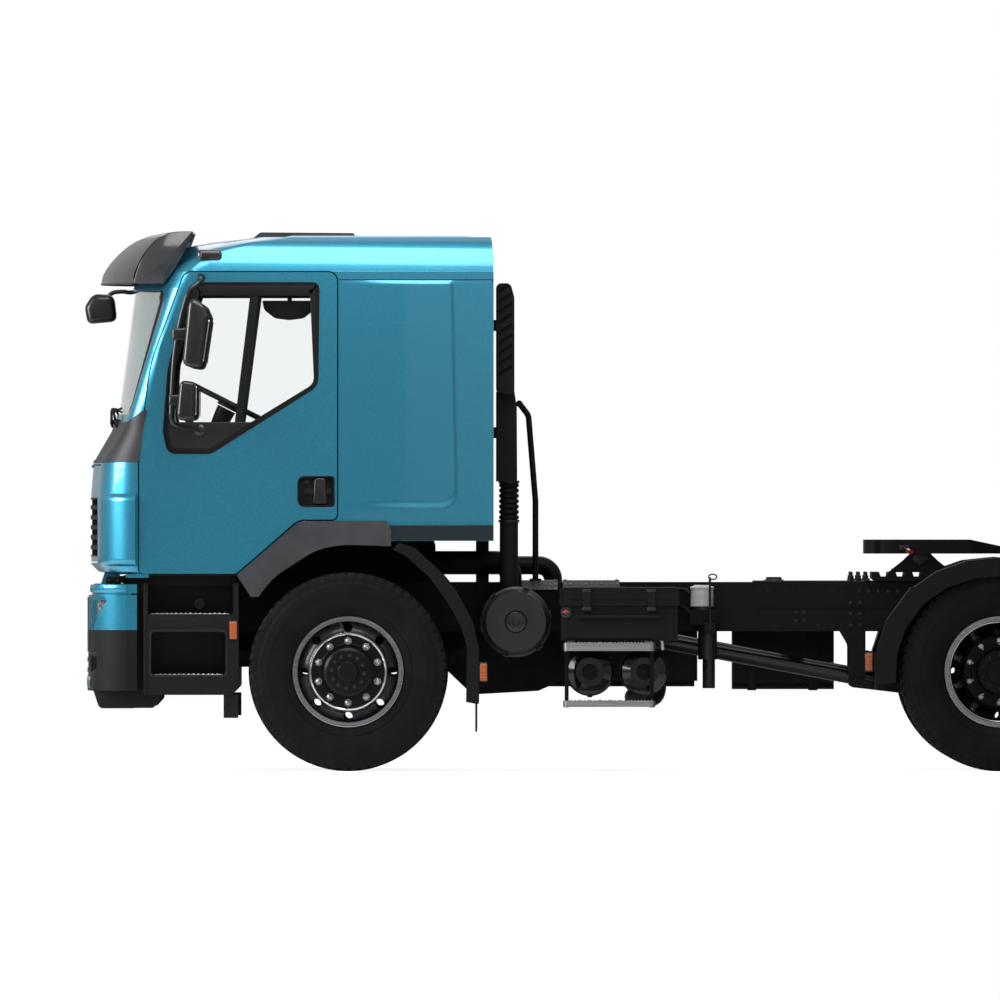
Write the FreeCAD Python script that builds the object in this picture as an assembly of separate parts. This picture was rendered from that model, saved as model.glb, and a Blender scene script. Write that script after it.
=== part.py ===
"""Two-axle cab-over tractor unit for semi-trailers, modelled at full size in millimetres.

X is measured from the front axle while the pieces are made, forward being plus, Y is to
the left and Z is up from the ground. The finished pieces are moved along X so that the
origin lies on the ground below the middle of the whole length.
"""
import FreeCAD
import Part
import math
import os

os.makedirs("parts", exist_ok=True)

V = FreeCAD.Vector

# Driving dimensions of the whole vehicle
wheelbase = 3520.0
front_reach = 1447.0          # front axle to the tip of the front mirror
rear_overhang = 740.0         # rear axle to the end of the rails
seat_gap = 0.3                # between pieces that rest on one another
panel_gap = 7.0               # between a door, lid or trim and what it closes on
running_gap = 0.05            # between a journal and its bore, on the radius

# Wheels and tyres
tyre_diameter = 1076.0
tyre_width = 315.0
rim_diameter = 571.5
rim_width = 228.6
rim_plate = 12.0
flange_height = 12.7
disc_offset = 172.5           # middle of the rim to the disc's seat on the hub
hand_holes = 8
hand_hole_radius = 24.0
twin_track = 1835.0

# Steering
kingpin_half = 880.0          # kingpin axis to the middle of the vehicle
kingpin_offset = 125.0        # kingpin axis to the middle of the tyre
kingpin_radius = 25.0
kingpin_eye = 90.0            # half the height of the beam's eye
steering_arm = 170.0
spindle_radius = 45.0
rear_spindle_radius = 55.0

# Frame
frame_half = 410.0            # outer face of a rail
rail_bottom = 754.0
rail_top = 1020.0
rail_flange = 80.0
rail_plate = 8.0
rail_front = 1120.0           # front axle to the front end of the rails

# Cab
cab_half = 1150.0
cab_wall = 60.0
cab_front = 1400.0
cab_rear = -786.0
cab_bottom = 1064.0
cab_rear_bottom = 1245.0
arch_top = 1353.0
floor_top = 1420.0
roof_top = 2886.0
roof_seam = roof_top - 181
cowl_bottom = 1666.0
screen_bottom = 1914.0
screen_top = roof_top - 275
door_front = 1128.0
door_rear = 59.0
door_top = roof_top - 189
tilt_x = 1300.0
tilt_z = 960.0
door_hinge = (1090.0, 1142.0)
lid_hinge = (1388.0, 1648.0)
hatch_hinge = (-46.0, roof_top + 8.5)

# Fifth wheel coupling
coupling_x = -3105.0
coupling_pivot_z = 1158.0
coupling_top = 1251.0
kingpin_jaw = 25.9

axle_z = tyre_diameter / 2
rear_x = -wheelbase
rim_radius = rim_diameter / 2
flange_radius = rim_radius + flange_height
front_wheel_y = kingpin_half + kingpin_offset
twin_y = twin_track / 2
rail_end = rear_x - rear_overhang


# Shaping helpers

PLACES = {
    "side": lambda u, v, level: V(u, level, v),
    "plan": lambda u, v, level: V(u, v, level),
    "front": lambda u, v, level: V(level, u, v),
}
NORMALS = {"side": V(0, 1, 0), "plan": V(0, 0, 1), "front": V(1, 0, 0)}


def outline(points, plane, level):
    """Closed wire through (u, v) corners; a third number rounds that corner."""
    place = PLACES[plane]
    corners = []
    for i, point in enumerate(points):
        here = V(point[0], point[1], 0)
        if len(point) == 2:
            corners.append([here])
            continue
        last, following = points[i - 1], points[(i + 1) % len(points)]
        back = (V(last[0], last[1], 0) - here).normalize()
        ahead = (V(following[0], following[1], 0) - here).normalize()
        half = back.getAngle(ahead) / 2
        reach = point[2] / math.tan(half)
        inward = (back + ahead).normalize() * (point[2] / math.sin(half) - point[2])
        corners.append([here + back * reach, here + inward, here + ahead * reach])
    edges = []
    for corner, following in zip(corners, corners[1:] + corners[:1]):
        if len(corner) == 3:
            arc = [place(p.x, p.y, level) for p in corner]
            edges.append(Part.Arc(*arc).toShape())
        start, end = corner[-1], following[0]
        if (end - start).Length > 1e-4:
            line = Part.LineSegment(place(start.x, start.y, level), place(end.x, end.y, level))
            edges.append(line.toShape())
    return Part.Wire(edges)


def slab(points, plane, low, high):
    """Solid between two levels of a plane, with the outline of the points."""
    return Part.Face(outline(points, plane, low)).extrude(NORMALS[plane] * (high - low))


def box(x0, x1, y0, y1, z0, z1):
    return Part.makeBox(x1 - x0, y1 - y0, z1 - z0, V(x0, y0, z0))


def bar(start, end, radius):
    """Round bar between two points."""
    a, b = V(*start), V(*end)
    return Part.makeCylinder(radius, (b - a).Length, a, b - a)


def drum(x, z, radius, y0, y1):
    """Cylinder across the vehicle."""
    return Part.makeCylinder(radius, y1 - y0, V(x, y0, z), V(0, 1, 0))


def turned(profile, x=0.0, y=0.0, z=0.0):
    """Solid of revolution about a cross-vehicle axis from (y, radius) corners."""
    shape = Part.Face(outline(profile, "front", 0)).revolve(V(0, 0, 0), V(0, 1, 0), 360)
    shape.translate(V(x, y, z))
    return shape


def tube(points, radius, bend):
    """Round bar along a path of straight runs joined by arcs of the bend radius."""
    path = [V(*p) for p in points]
    edges, start = [], path[0]
    for last, here, following in zip(path, path[1:], path[2:]):
        back, ahead = (last - here).normalize(), (following - here).normalize()
        half = back.getAngle(ahead) / 2
        reach = bend / math.tan(half)
        middle = here + (back + ahead).normalize() * (bend / math.sin(half) - bend)
        edges.append(Part.LineSegment(start, here + back * reach).toShape())
        edges.append(Part.Arc(here + back * reach, middle, here + ahead * reach).toShape())
        start = here + ahead * reach
    edges.append(Part.LineSegment(start, path[-1]).toShape())
    ring = Part.Wire(Part.makeCircle(radius, path[0], path[1] - path[0]))
    return Part.Wire(edges).makePipeShell([ring], True, False)


def fuse(shapes):
    """One shape of the given ones, with the seams between flush faces taken out."""
    solids = [solid for shape in shapes for solid in shape.Solids]
    joined = solids[0]
    for solid in solids[1:]:
        joined = joined.fuse(solid)
    return joined.removeSplitter() if len(solids) > 1 else joined


def cut(shape, tools):
    for tool in tools:
        shape = shape.cut(tool)
    return shape


def mirrored(shape):
    """The same piece on the other side of the vehicle."""
    return shape.mirror(V(0, 0, 0), V(0, 1, 0))


def both(shape):
    """The piece and its mirror image, as they stand."""
    return [shape, mirrored(shape)]


def ringed(shape, count, x, z, start=0.0):
    """Copies of a shape around a cross-vehicle axis."""
    copies = []
    for i in range(count):
        copy = shape.copy()
        copy.rotate(V(x, 0, z), V(0, 1, 0), start + 360.0 * i / count)
        copies.append(copy)
    return copies


def arc_points(x, z, radius, first, last, steps):
    """Corners of an arc in the side view, angles in degrees from forward to up."""
    points = []
    for i in range(steps + 1):
        turn = math.radians(first + (last - first) * i / steps)
        points.append((x + radius * math.cos(turn), z + radius * math.sin(turn)))
    return points


def grown(points, plane, low, high, gap):
    """Slab whose outline lies a gap outside the given one, or inside where negative."""
    face = Part.Face(outline(points, plane, low)).makeOffset2D(gap)
    return Part.Face(face.Wires[0]).extrude(NORMALS[plane] * (high - low))


pieces = {}


def keep(name, *shapes):
    """Stores a node made of one or more solids."""
    solids = [solid for shape in shapes for solid in shape.Solids]
    pieces[name] = solids[0] if len(solids) == 1 else Part.makeCompound(solids)


# Wheels: profiles are (distance outward, radius) about the middle of the rim

bead_half = rim_width / 2
rim_inner = rim_radius - rim_plate
hub_hole = 141.0
disc_plate = 14.0
disc_flat = 207.0             # radius of the flat middle of the disc
disc_foot = 66.0              # middle of the rim to the foot of the dish


def tyre_profile(middle):
    """Tyre section with its beads, its bulging walls and its flat tread."""
    half, tread = tyre_width / 2, tyre_width * 0.42
    crown = tyre_diameter / 2
    low, high = flange_radius + 62, crown - 80
    right = [(bead_half - 0.3, rim_radius + seat_gap), (bead_half - 0.3, flange_radius + 2),
             (half, low), (half, high), (tread + 12, crown - 22), (tread, crown)]
    left = [(-w, r) for w, r in reversed(right)]
    return [(w + middle, r) for w, r in right + left]


def rim_profile(middle):
    """Rim section between its two flanges."""
    edge = bead_half + rim_plate
    section = [(bead_half, rim_radius), (bead_half, flange_radius), (edge, flange_radius),
               (edge, rim_inner), (-edge, rim_inner), (-edge, flange_radius),
               (-bead_half, flange_radius), (-bead_half, rim_radius)]
    return [(w + middle, r) for w, r in section]


def disc_profile(middle, facing):
    """Dished disc; facing is 1 where it bulges outward and -1 where inward."""
    seat = disc_offset - disc_plate
    section = [(seat, hub_hole), (disc_offset, hub_hole), (disc_offset, disc_flat, 18),
               (disc_foot + disc_plate + 4, rim_inner + 1), (disc_foot, rim_inner + 1),
               (seat, disc_flat - 8, 18)]
    return [(middle + facing * point[0],) + tuple(point[1:]) for point in section]


def steel_wheel(middle, facing):
    """Rim and disc in one, with its hand holes."""
    wheel = fuse([turned(rim_profile(middle)), turned(disc_profile(middle, facing))])
    radius = (disc_flat + rim_inner) / 2
    near = min(0.0, facing * disc_offset) + middle - 10
    hole = drum(0, radius, hand_hole_radius, near, near + disc_offset + 20)
    return cut(wheel, ringed(hole, hand_holes, 0, 0))


def placed(shape, x, y):
    """A wheel piece moved to its axle on the left side."""
    shape = shape.copy()
    shape.translate(V(x, y, axle_z))
    return shape


brake_disc_radius = 210.0
hub_inner = -20.0             # inner end of the front hub, from the middle of the rim
hub_nose = 232.0
spindle_tip = 185.0

front_hub = turned([(hub_inner, spindle_radius + running_gap), (hub_inner, 105),
                    (-10, 105), (-10, brake_disc_radius), (30, brake_disc_radius), (30, 105),
                    (disc_offset - disc_plate - 22, 105), (disc_offset - disc_plate - 22, 192),
                    (disc_offset - disc_plate, 192), (disc_offset - disc_plate, hub_hole),
                    (disc_offset + 8, hub_hole), (disc_offset + 8, 130),
                    (hub_nose - 12, 130), (hub_nose, 116), (hub_nose, 46),
                    (hub_nose + 16, 40), (hub_nose + 16, 0), (spindle_tip + 14, 0),
                    (spindle_tip + 14, spindle_radius + running_gap)])
front_rim = placed(fuse([steel_wheel(0, 1), front_hub]), 0, front_wheel_y)
front_tyre = placed(turned(tyre_profile(0)), 0, front_wheel_y)

drum_radius = 205.0
drum_inner = -200.0
rear_hub_nose = 132.0
rear_spindle_tip = 104.0

rear_hub = turned([(drum_inner, rear_spindle_radius + running_gap), (drum_inner, drum_radius),
                   (-70, drum_radius), (-52, 150), (-52, 192), (-disc_plate, 192),
                   (-disc_plate, hub_hole), (disc_plate, hub_hole), (disc_plate, 128),
                   (rear_hub_nose - 16, 122), (rear_hub_nose, 104), (rear_hub_nose, 0),
                   (rear_spindle_tip + 10, 0),
                   (rear_spindle_tip + 10, rear_spindle_radius + running_gap)])
rear_rims = placed(fuse([steel_wheel(disc_offset, -1), steel_wheel(-disc_offset, 1),
                         rear_hub]), rear_x, twin_y)
rear_tyres = [placed(turned(tyre_profile(w)), rear_x, twin_y)
              for w in (disc_offset, -disc_offset)]

keep("rim_front_left", front_rim)
keep("rim_front_right", mirrored(front_rim))
keep("tyre_front_left", front_tyre)
keep("tyre_front_right", mirrored(front_tyre))
keep("rims_rear_left", rear_rims)
keep("rims_rear_right", mirrored(rear_rims))
keep("tyres_rear_left", *rear_tyres)
keep("tyres_rear_right", *[mirrored(tyre) for tyre in rear_tyres])


# Steering knuckles, tie rod and front axle

fork_arm = 48.0
fork_top = axle_z + kingpin_eye + 5
fork_foot = axle_z - kingpin_eye - 5
knuckle_plate_y = kingpin_half + 70
spindle_root = front_wheel_y + hub_inner - 15
tie_rod_z = fork_foot + 36
ball_pin_radius = 13.0

fork = fuse([Part.makeCylinder(46, fork_arm, V(0, kingpin_half, low))
             for low in (fork_top, fork_foot - fork_arm)]
            + [box(-42, 42, kingpin_half, knuckle_plate_y + 4, low, low + fork_arm)
               for low in (fork_top, fork_foot - fork_arm)]
            + [slab([(-70, fork_foot - fork_arm, 20), (70, fork_foot - fork_arm, 20),
                     (70, fork_top + fork_arm, 20), (-70, fork_top + fork_arm, 20)],
                    "side", knuckle_plate_y, knuckle_plate_y + 22)])
bores = [Part.makeCylinder(kingpin_radius + running_gap, fork_arm + 2, V(0, kingpin_half, low - 1))
         for low in (fork_top, fork_foot - fork_arm)]
backing = drum(0, axle_z, 118, knuckle_plate_y + 14, spindle_root)
spindle = bar((0, spindle_root - 5, axle_z), (0, front_wheel_y + spindle_tip, axle_z),
              spindle_radius)
caliper = slab([(-112, axle_z + 95, 15), (-60, axle_z + 128, 15), (-122, axle_z + 205, 20),
                (-205, axle_z + 130, 20)], "side", knuckle_plate_y, front_wheel_y - 18)
steer_arm = fuse([slab([(20, kingpin_half - 24), (20, kingpin_half + 24),
                        (-steering_arm, kingpin_half + 22), (-steering_arm, kingpin_half - 22)],
                       "plan", fork_foot - fork_arm, fork_foot - fork_arm + 26),
                  Part.makeCylinder(26, 26, V(-steering_arm, kingpin_half, fork_foot - fork_arm)),
                  Part.makeCylinder(ball_pin_radius, tie_rod_z + 22 - fork_foot + fork_arm,
                                    V(-steering_arm, kingpin_half, fork_foot - fork_arm))])
lug = box(-150, 0, knuckle_plate_y, knuckle_plate_y + 22, axle_z + 60, axle_z + 150)
knuckle = cut(fuse([fork, backing, spindle, caliper, lug, steer_arm]), bores)
keep("knuckle_left", knuckle)
keep("knuckle_right", mirrored(knuckle))

rod_eye = 27.0
rod_end = fuse([Part.makeCylinder(rod_eye, 34, V(-steering_arm, kingpin_half, tie_rod_z - 17))])
tie_rod = fuse([bar((-steering_arm, -kingpin_half, tie_rod_z),
                    (-steering_arm, kingpin_half, tie_rod_z), 15)] + both(rod_end))
pin_holes = [Part.makeCylinder(ball_pin_radius + gap, 36, V(-steering_arm, side, tie_rod_z - 18))
             for side, gap in ((kingpin_half, running_gap), (-kingpin_half, 0.15))]
keep("tie_rod", cut(tie_rod, pin_holes))

beam_half = 38.0
spring_y = 385.0
spring_half = 45.0
spring_reach = 800.0
spring_pad = axle_z - 38
beam_drop = axle_z - 155
spring_rise = 165.0
leaf_pack = 46.0

beam_line = [(kingpin_half - 20, axle_z + 70), (kingpin_half - 170, axle_z + 52, 60),
             (spring_y + 150, spring_pad, 60), (-spring_y - 150, spring_pad, 60),
             (-kingpin_half + 170, axle_z + 52, 60), (-kingpin_half + 20, axle_z + 70),
             (-kingpin_half + 20, axle_z - 70), (-kingpin_half + 180, axle_z - 62, 60),
             (-spring_y - 130, beam_drop, 60), (spring_y + 130, beam_drop, 60),
             (kingpin_half - 180, axle_z - 62, 60), (kingpin_half - 20, axle_z - 70)]
beam = slab(beam_line, "front", -beam_half, beam_half)
flute = box(12, beam_half + 1, -spring_y - 90, spring_y + 90, beam_drop + 24, spring_pad - 24)
beam = cut(beam, [flute, flute.mirror(V(0, 0, 0), V(1, 0, 0))])
eyes = both(Part.makeCylinder(60, 2 * kingpin_eye, V(0, kingpin_half, axle_z - kingpin_eye)))
kingpins = both(Part.makeCylinder(kingpin_radius, 2 * (kingpin_eye + fork_arm) - 10,
                                  V(0, kingpin_half, axle_z - kingpin_eye - fork_arm + 5)))


def leaf_spring(x, pad_z, reach, rise, thick):
    """Parabolic leaf pack that rises from its pad to an eye at each end."""
    radius = (reach ** 2 + rise ** 2) / (2 * rise)
    spread = math.degrees(math.asin(reach / radius))
    lower = arc_points(x, pad_z + radius, radius, 270 - spread, 270 + spread, 8)
    upper = arc_points(x, pad_z + radius, radius - thick, 270 + spread, 270 - spread, 8)
    return slab(lower + upper, "side", spring_y - spring_half, spring_y + spring_half)


spring_parts = [leaf_spring(0, spring_pad + 14, spring_reach, spring_rise, leaf_pack),
                box(-90, 90, spring_y - 55, spring_y + 55, spring_pad - 2, spring_pad + 22),
                box(-80, 80, spring_y - 50, spring_y + 50, spring_pad + 40, spring_pad + 84)]
for end in (-spring_reach, spring_reach):
    eye_z = spring_pad + 14 + spring_rise - 10
    spring_parts += [drum(end, eye_z, 42, spring_y - spring_half - 8, spring_y + spring_half + 8),
                     slab([(end - 60, rail_bottom), (end + 60, rail_bottom), (end + 38, eye_z),
                           (end - 38, eye_z)], "side", spring_y - spring_half,
                          frame_half)]
damper = fuse([bar((130, spring_y + 96, spring_pad - 40), (160, spring_y + 96, 780), 34),
               bar((155, spring_y + 96, 700), (170, spring_y + 96, 880), 20),
               box(0, 165, spring_y + 40, spring_y + 112, spring_pad - 80, spring_pad - 30),
               box(140, 200, frame_half + seat_gap, spring_y + 112, 860, 910)])
keep("front_axle", fuse([beam] + eyes + kingpins + both(fuse(spring_parts + [damper]))))


# Rear axle with its trailing arms and air springs

pinion_x = rear_x + 330
pinion_z = axle_z - 100
arm_y = 385.0
hanger_x = -2757.0
hanger_foot = 440.0
air_spring_x = rear_x - 430
arm_top = axle_z - 96

housing = fuse([drum(rear_x, axle_z, 205, -165, 165), drum(rear_x, axle_z, 78, -700, 700),
                slab([(rear_x - 120, axle_z - 88), (rear_x + 120, axle_z - 88),
                      (rear_x + 120, axle_z + 88), (rear_x - 120, axle_z + 88)],
                     "side", -300, 300),
                Part.makeCone(120, 72, pinion_x - rear_x - 60, V(rear_x + 60, 0, pinion_z),
                              V(1, 0, 0))])
ends = fuse([drum(rear_x, axle_z, 190, 682, 702),
             drum(rear_x, axle_z, rear_spindle_radius, 690, twin_y + rear_spindle_tip)])
arm_line = [(hanger_x + 40, hanger_foot + 62, 20), (hanger_x - 300, arm_top + 20, 120),
            (rear_x, arm_top, 200), (air_spring_x - 60, arm_top, 20),
            (air_spring_x - 60, arm_top - 50, 20), (rear_x, arm_top - 50, 200),
            (hanger_x - 300, arm_top - 30, 120), (hanger_x + 40, hanger_foot + 12, 20)]
trailing_arm = slab(arm_line, "side", arm_y - 45, arm_y + 45)
axle_seat = slab([(rear_x - 95, arm_top - 2), (rear_x + 95, arm_top - 2),
                  (rear_x + 70, axle_z - 30, 10), (rear_x - 70, axle_z - 30, 10)],
                 "side", arm_y - 50, arm_y + 50)
bellows_line = [(0, 0), (105, 0), (128, 40), (128, 85), (108, 112), (128, 140), (128, 190),
                (105, 225), (105, rail_bottom - arm_top), (0, rail_bottom - arm_top)]
air_spring = Part.Face(outline([(air_spring_x + r, arm_top + z) for r, z in bellows_line],
                               "side", arm_y)).revolve(V(air_spring_x, arm_y, 0),
                                                       V(0, 0, 1), 360)
hanger = slab([(hanger_x - 46, rail_bottom), (hanger_x - 46, hanger_foot + 20, 20),
               (hanger_x + 46, hanger_foot + 20, 20), (hanger_x + 46, 680, 60),
               (hanger_x + 90, rail_bottom)], "side", arm_y - 55, frame_half)
rear_damper = fuse([bar((rear_x + 210, arm_y - 90, arm_top - 30),
                        (rear_x + 148, arm_y - 90, 800), 32),
                    box(rear_x + 150, rear_x + 240, arm_y - 125, arm_y - 20, arm_top - 46,
                        arm_top - 5),
                    box(rear_x + 118, rear_x + 178, arm_y - 125,
                        frame_half - rail_plate - seat_gap, 790, 840)])
keep("rear_axle", fuse([housing] + both(fuse([ends, trailing_arm, axle_seat, air_spring,
                                              hanger, rear_damper]))))


# Ladder frame with its cross-members, cab pivots and hose frame

def rail():
    """Left channel section rail, open towards the middle."""
    section = [(frame_half, rail_bottom), (frame_half, rail_top),
               (frame_half - rail_flange, rail_top), (frame_half - rail_flange, rail_top - rail_plate),
               (frame_half - rail_plate, rail_top - rail_plate),
               (frame_half - rail_plate, rail_bottom + rail_plate),
               (frame_half - rail_flange, rail_bottom + rail_plate),
               (frame_half - rail_flange, rail_bottom)]
    return slab(section, "front", rail_end, rail_front)


def cross_member(x, low, high, depth):
    """Channel across the frame, its web forward, let into the rails."""
    half, plate = frame_half - rail_plate + 1, 8.0
    section = [(x, low), (x, high), (x - depth, high), (x - depth, high - plate),
               (x - plate, high - plate), (x - plate, low + plate), (x - depth, low + plate),
               (x - depth, low)]
    return slab(section, "side", -half, half)


tilt_arm_y = 520.0
pivot_radius = 22.0
hose_frame_y = (250.0, 600.0)
hose_tube = 16.0

mid_members = [-1560.0, -2420.0, rear_x + 110, rear_x - 330]
member_low, member_high = rail_bottom + 40, rail_top - 30
frame_parts = both(rail()) + [cross_member(x, member_low, member_high, 90) for x in mid_members]
frame_parts += [cross_member(rail_front - 20, rail_bottom + 10, rail_bottom + 90, 80),
                cross_member(rail_end + 110, member_low, member_high, 110)]
front_arm = slab([(rail_front - 160, rail_bottom + 10), (rail_front - 160, rail_top - 20),
                  (rail_front + 90, rail_top - 10, 30), (tilt_x + 40, tilt_z + 12, 20),
                  (tilt_x + 40, tilt_z - 52, 20), (rail_front + 60, rail_bottom + 10, 60)],
                 "side", frame_half - 1, frame_half + 40)
pivot_pin = drum(tilt_x, tilt_z, pivot_radius, frame_half + 20, tilt_arm_y + 62)
rest_top = 1168.0
rear_rest = fuse([box(-760, -690, frame_half - 1, frame_half + 50, 880, rest_top - 30),
                  box(-770, -680, frame_half - 30, frame_half + 78, rest_top - 40, rest_top)])
frame_parts += both(fuse([front_arm, pivot_pin])) + both(rear_rest)

walk_top = rail_top + 10
hose_line = [(-1013, walk_top + 5), (-1013, 1460), (-975, 1925), (-925, 1990)]
hose_posts = [tube([(x, y, z) for x, z in hose_line], hose_tube, 60) for y in hose_frame_y]
hose_bars = [bar((-925, hose_frame_y[0] - 24, 1988), (-925, hose_frame_y[1] + 24, 1988), hose_tube + 2),
             bar((-1013, hose_frame_y[0], 1400), (-1013, hose_frame_y[1], 1400), hose_tube - 4)]
hose_foot = box(-1045, -981, hose_frame_y[0] - 30, hose_frame_y[1] + 20,
                walk_top + seat_gap, walk_top + 10)
frame_parts += hose_posts + hose_bars + [hose_foot]
keep("frame", fuse(frame_parts))


# Engine, gearbox, radiator and propeller shaft as closed masses

engine_front, engine_rear = 820.0, -470.0
gearbox_rear = -1230.0
shaft_start_z = 775.0

engine_block = fuse([
    slab([(engine_rear, 640), (engine_rear, 1250, 60), (engine_rear + 120, 1310, 40),
          (engine_front - 60, 1310, 60), (engine_front, 1180, 60), (engine_front, 700, 40),
          (engine_front - 90, 610, 30), (engine_rear + 90, 610, 30)], "side", -290, 290),
    slab([(engine_rear + 60, 640), (engine_rear + 60, 560, 30), (engine_front - 200, 560, 30),
          (engine_front - 200, 640)], "side", -190, 190)])
gearbox = fuse([
    slab([(engine_rear - 1, 600), (engine_rear - 1, 1020, 60), (engine_rear - 260, 960, 60),
          (gearbox_rear, 900, 40), (gearbox_rear, 520, 60), (gearbox_rear + 200, 430, 40),
          (engine_rear - 200, 410, 60)], "side", -215, 215),
    Part.makeCylinder(90, 40, V(gearbox_rear - 40, 0, shaft_start_z), V(1, 0, 0))])
flange_x = (gearbox_rear - 40 - seat_gap, pinion_x + seat_gap)
shaft = fuse([Part.makeCylinder(66, 70, V(flange_x[0] - 70, 0, shaft_start_z), V(1, 0, 0)),
              Part.makeCylinder(66, 70, V(flange_x[1], 0, pinion_z), V(1, 0, 0)),
              bar((flange_x[0] - 50, 0, shaft_start_z), (flange_x[1] + 50, 0, pinion_z), 48)])
radiator_x = (880.0, 1000.0)
core_half = frame_half - rail_flange - 8
radiator = slab([(-core_half, 660, 20), (core_half, 660, 20), (core_half, rail_top + 12),
                 (395, rail_top + 24), (395, 1320, 20), (-395, 1320, 20), (-395, rail_top + 24),
                 (-core_half, rail_top + 12)], "front", *radiator_x)
channel = frame_half - rail_plate - seat_gap
mounts = [box(300, 400, 280, channel, 790, 880), box(-1000, -920, 205, channel, 790, 880)]
radiator_feet = both(box(910, 960, core_half - 4, channel, 850, 900))
keep("engine", fuse([engine_block, gearbox] + both(mounts[0]) + both(mounts[1])), shaft,
     fuse([radiator] + radiator_feet))


# Bumper with its blue surrounds, lamps and cab steps

bumper_front = 1420.0
bumper_rear = 1140.0
bumper_foot = 435.0
lamp_seam = 764.0
bumper_wall = 40.0


def nose(front, crown, front_half, side, half, rear, inset=0.0, level=0.0):
    """Closed outline in plan: straight rear and sides, rounded corners, bowed front."""
    front, half, rear = front - inset, half - inset, rear + inset
    front_half, side = front_half - 0.4 * inset, side - 0.4 * inset
    shoulder = V(front - crown, front_half, level)
    flank = V(side, half, level)
    chord = flank - shoulder
    corner = (shoulder + flank) * 0.5 + V(-chord.y, chord.x, 0) * -0.19
    points = [V(rear, -half, level), V(side, -half, level)]
    left = [V(p.x, -p.y, level) for p in (corner, shoulder)]
    return Part.Wire([
        Part.LineSegment(points[0], points[1]).toShape(),
        Part.Arc(points[1], left[0], left[1]).toShape(),
        Part.Arc(left[1], V(front, 0, level), shoulder).toShape(),
        Part.Arc(shoulder, corner, flank).toShape(),
        Part.LineSegment(flank, V(rear, half, level)).toShape(),
        Part.LineSegment(V(rear, half, level), points[0]).toShape()])


def bumper_band(low, high, inset=0.0, rear=bumper_rear, front=bumper_front):
    """Block of the bumper's plan outline between two heights."""
    wire = nose(front, 28, cab_half - 250, front - 220, cab_half, rear, inset, low)
    return Part.Face(wire).extrude(V(0, 0, high - low))


def bumper_shell(low, high):
    """Band of the bumper's wall, open at the back."""
    inner = bumper_band(low - 1, high + 1, bumper_wall, bumper_rear - 2 * bumper_wall)
    return bumper_band(low, high).cut(inner)


lamp_outline = [(742, 640, 20), (742, 949, 20), (1118, 943, 20), (905, 618, 20)]
lamp_cut = slab(lamp_outline, "front", 1270, bumper_front + 10)
lamp_cuts = both(lamp_cut)
centre_half = 640.0
centre_top = 940.0

lower_grille = [box(1300, bumper_front + 10, -520, 520, low, low + 34) for low in (500, 556, 612)]
bumper_top = lamp_seam - seat_gap
bumper = fuse([bumper_shell(bumper_foot, bumper_top),
               bumper_shell(bumper_top, centre_top).common(
                   box(1200, 1500, -centre_half, centre_half, bumper_top, centre_top)),
               slab([(1150, 340, 10), (1345, 340, 30), (1378, 440), (1340, 440), (1320, 376, 20),
                     (1150, 376, 10)], "side", -cab_half + 120, cab_half - 120)])
fog_cuts = both(slab([(860, 535, 30), (1040, 545, 30), (1040, 650, 30), (830, 650, 30)],
                     "front", 1250, bumper_front + 10))
bumper_arms = both(box(rail_front - 120, 1388, frame_half - 70, channel, 860, 920))
keep("bumper", cut(fuse([bumper] + bumper_arms), lamp_cuts + fog_cuts + lower_grille))

corner_zone = [box(1100, 1500, centre_half + 4, cab_half + 10, lamp_seam, 953),
               box(1100, 1312, centre_half + 4, cab_half + 10, 962, 1010)]
surrounds = [solid for zone in corner_zone for side in both(zone)
             for solid in bumper_shell(lamp_seam, 1012).common(side).cut(
                 lamp_cuts[0]).cut(lamp_cuts[1]).Solids]
bridge = box(1170, 1225, cab_half - bumper_wall + 2, cab_half - 10, 940, 975)
keep("lamp_surrounds", *[fuse([solid for solid in surrounds if solid.CenterOfMass.y * side > 0]
                              + [both(bridge)[side < 0]]) for side in (1, -1)])

lamp_slim = grown(lamp_outline, "front", 1276, bumper_front + 10, -seat_gap)
lens = bumper_band(600, 960, 3).cut(bumper_band(590, 970, 34, bumper_rear - 60)).common(lamp_slim)
keep("headlamps", *both(lens))

step_front, step_rear = 1106.0, 591.0
step_outer, step_inner = cab_half - 4, 860.0
step_foot, step_head = 413.0, 1016.0
step_line = [(step_front, step_foot), (step_front, step_head), (step_rear, step_head),
             (step_rear, step_foot + 40, 30), (step_rear + 40, step_foot, 30)]
step_body = slab(step_line, "side", step_inner, step_outer)
swing_clear = slab([(step_rear - 20, 1062), (step_rear, 1062), (step_rear + 45, step_inner - 5),
                    (step_rear - 20, step_inner - 5)], "plan", step_foot - 1, step_head + 1)
toe_holes = [slab([(620, 848, 12), (620, 1030), (1080, 1030), (1080, 848, 12)],
                  "side", step_inner + 60, step_outer + 1),
             slab([(660, 520, 30), (660, 756, 30), (1064, 756, 30), (1064, 520, 30)],
                  "side", step_inner + 60, step_outer + 1)]
step_arm = box(720, 780, frame_half, step_inner + 2, 900, 960)
keep("cab_steps", *both(fuse([cut(step_body, [swing_clear] + toe_holes), step_arm,
                              box(585 + 8, 672, step_outer - 40, step_outer - 6, 289, step_foot + 2)])))


# Guards behind the front wheels and over the twin wheels

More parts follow.
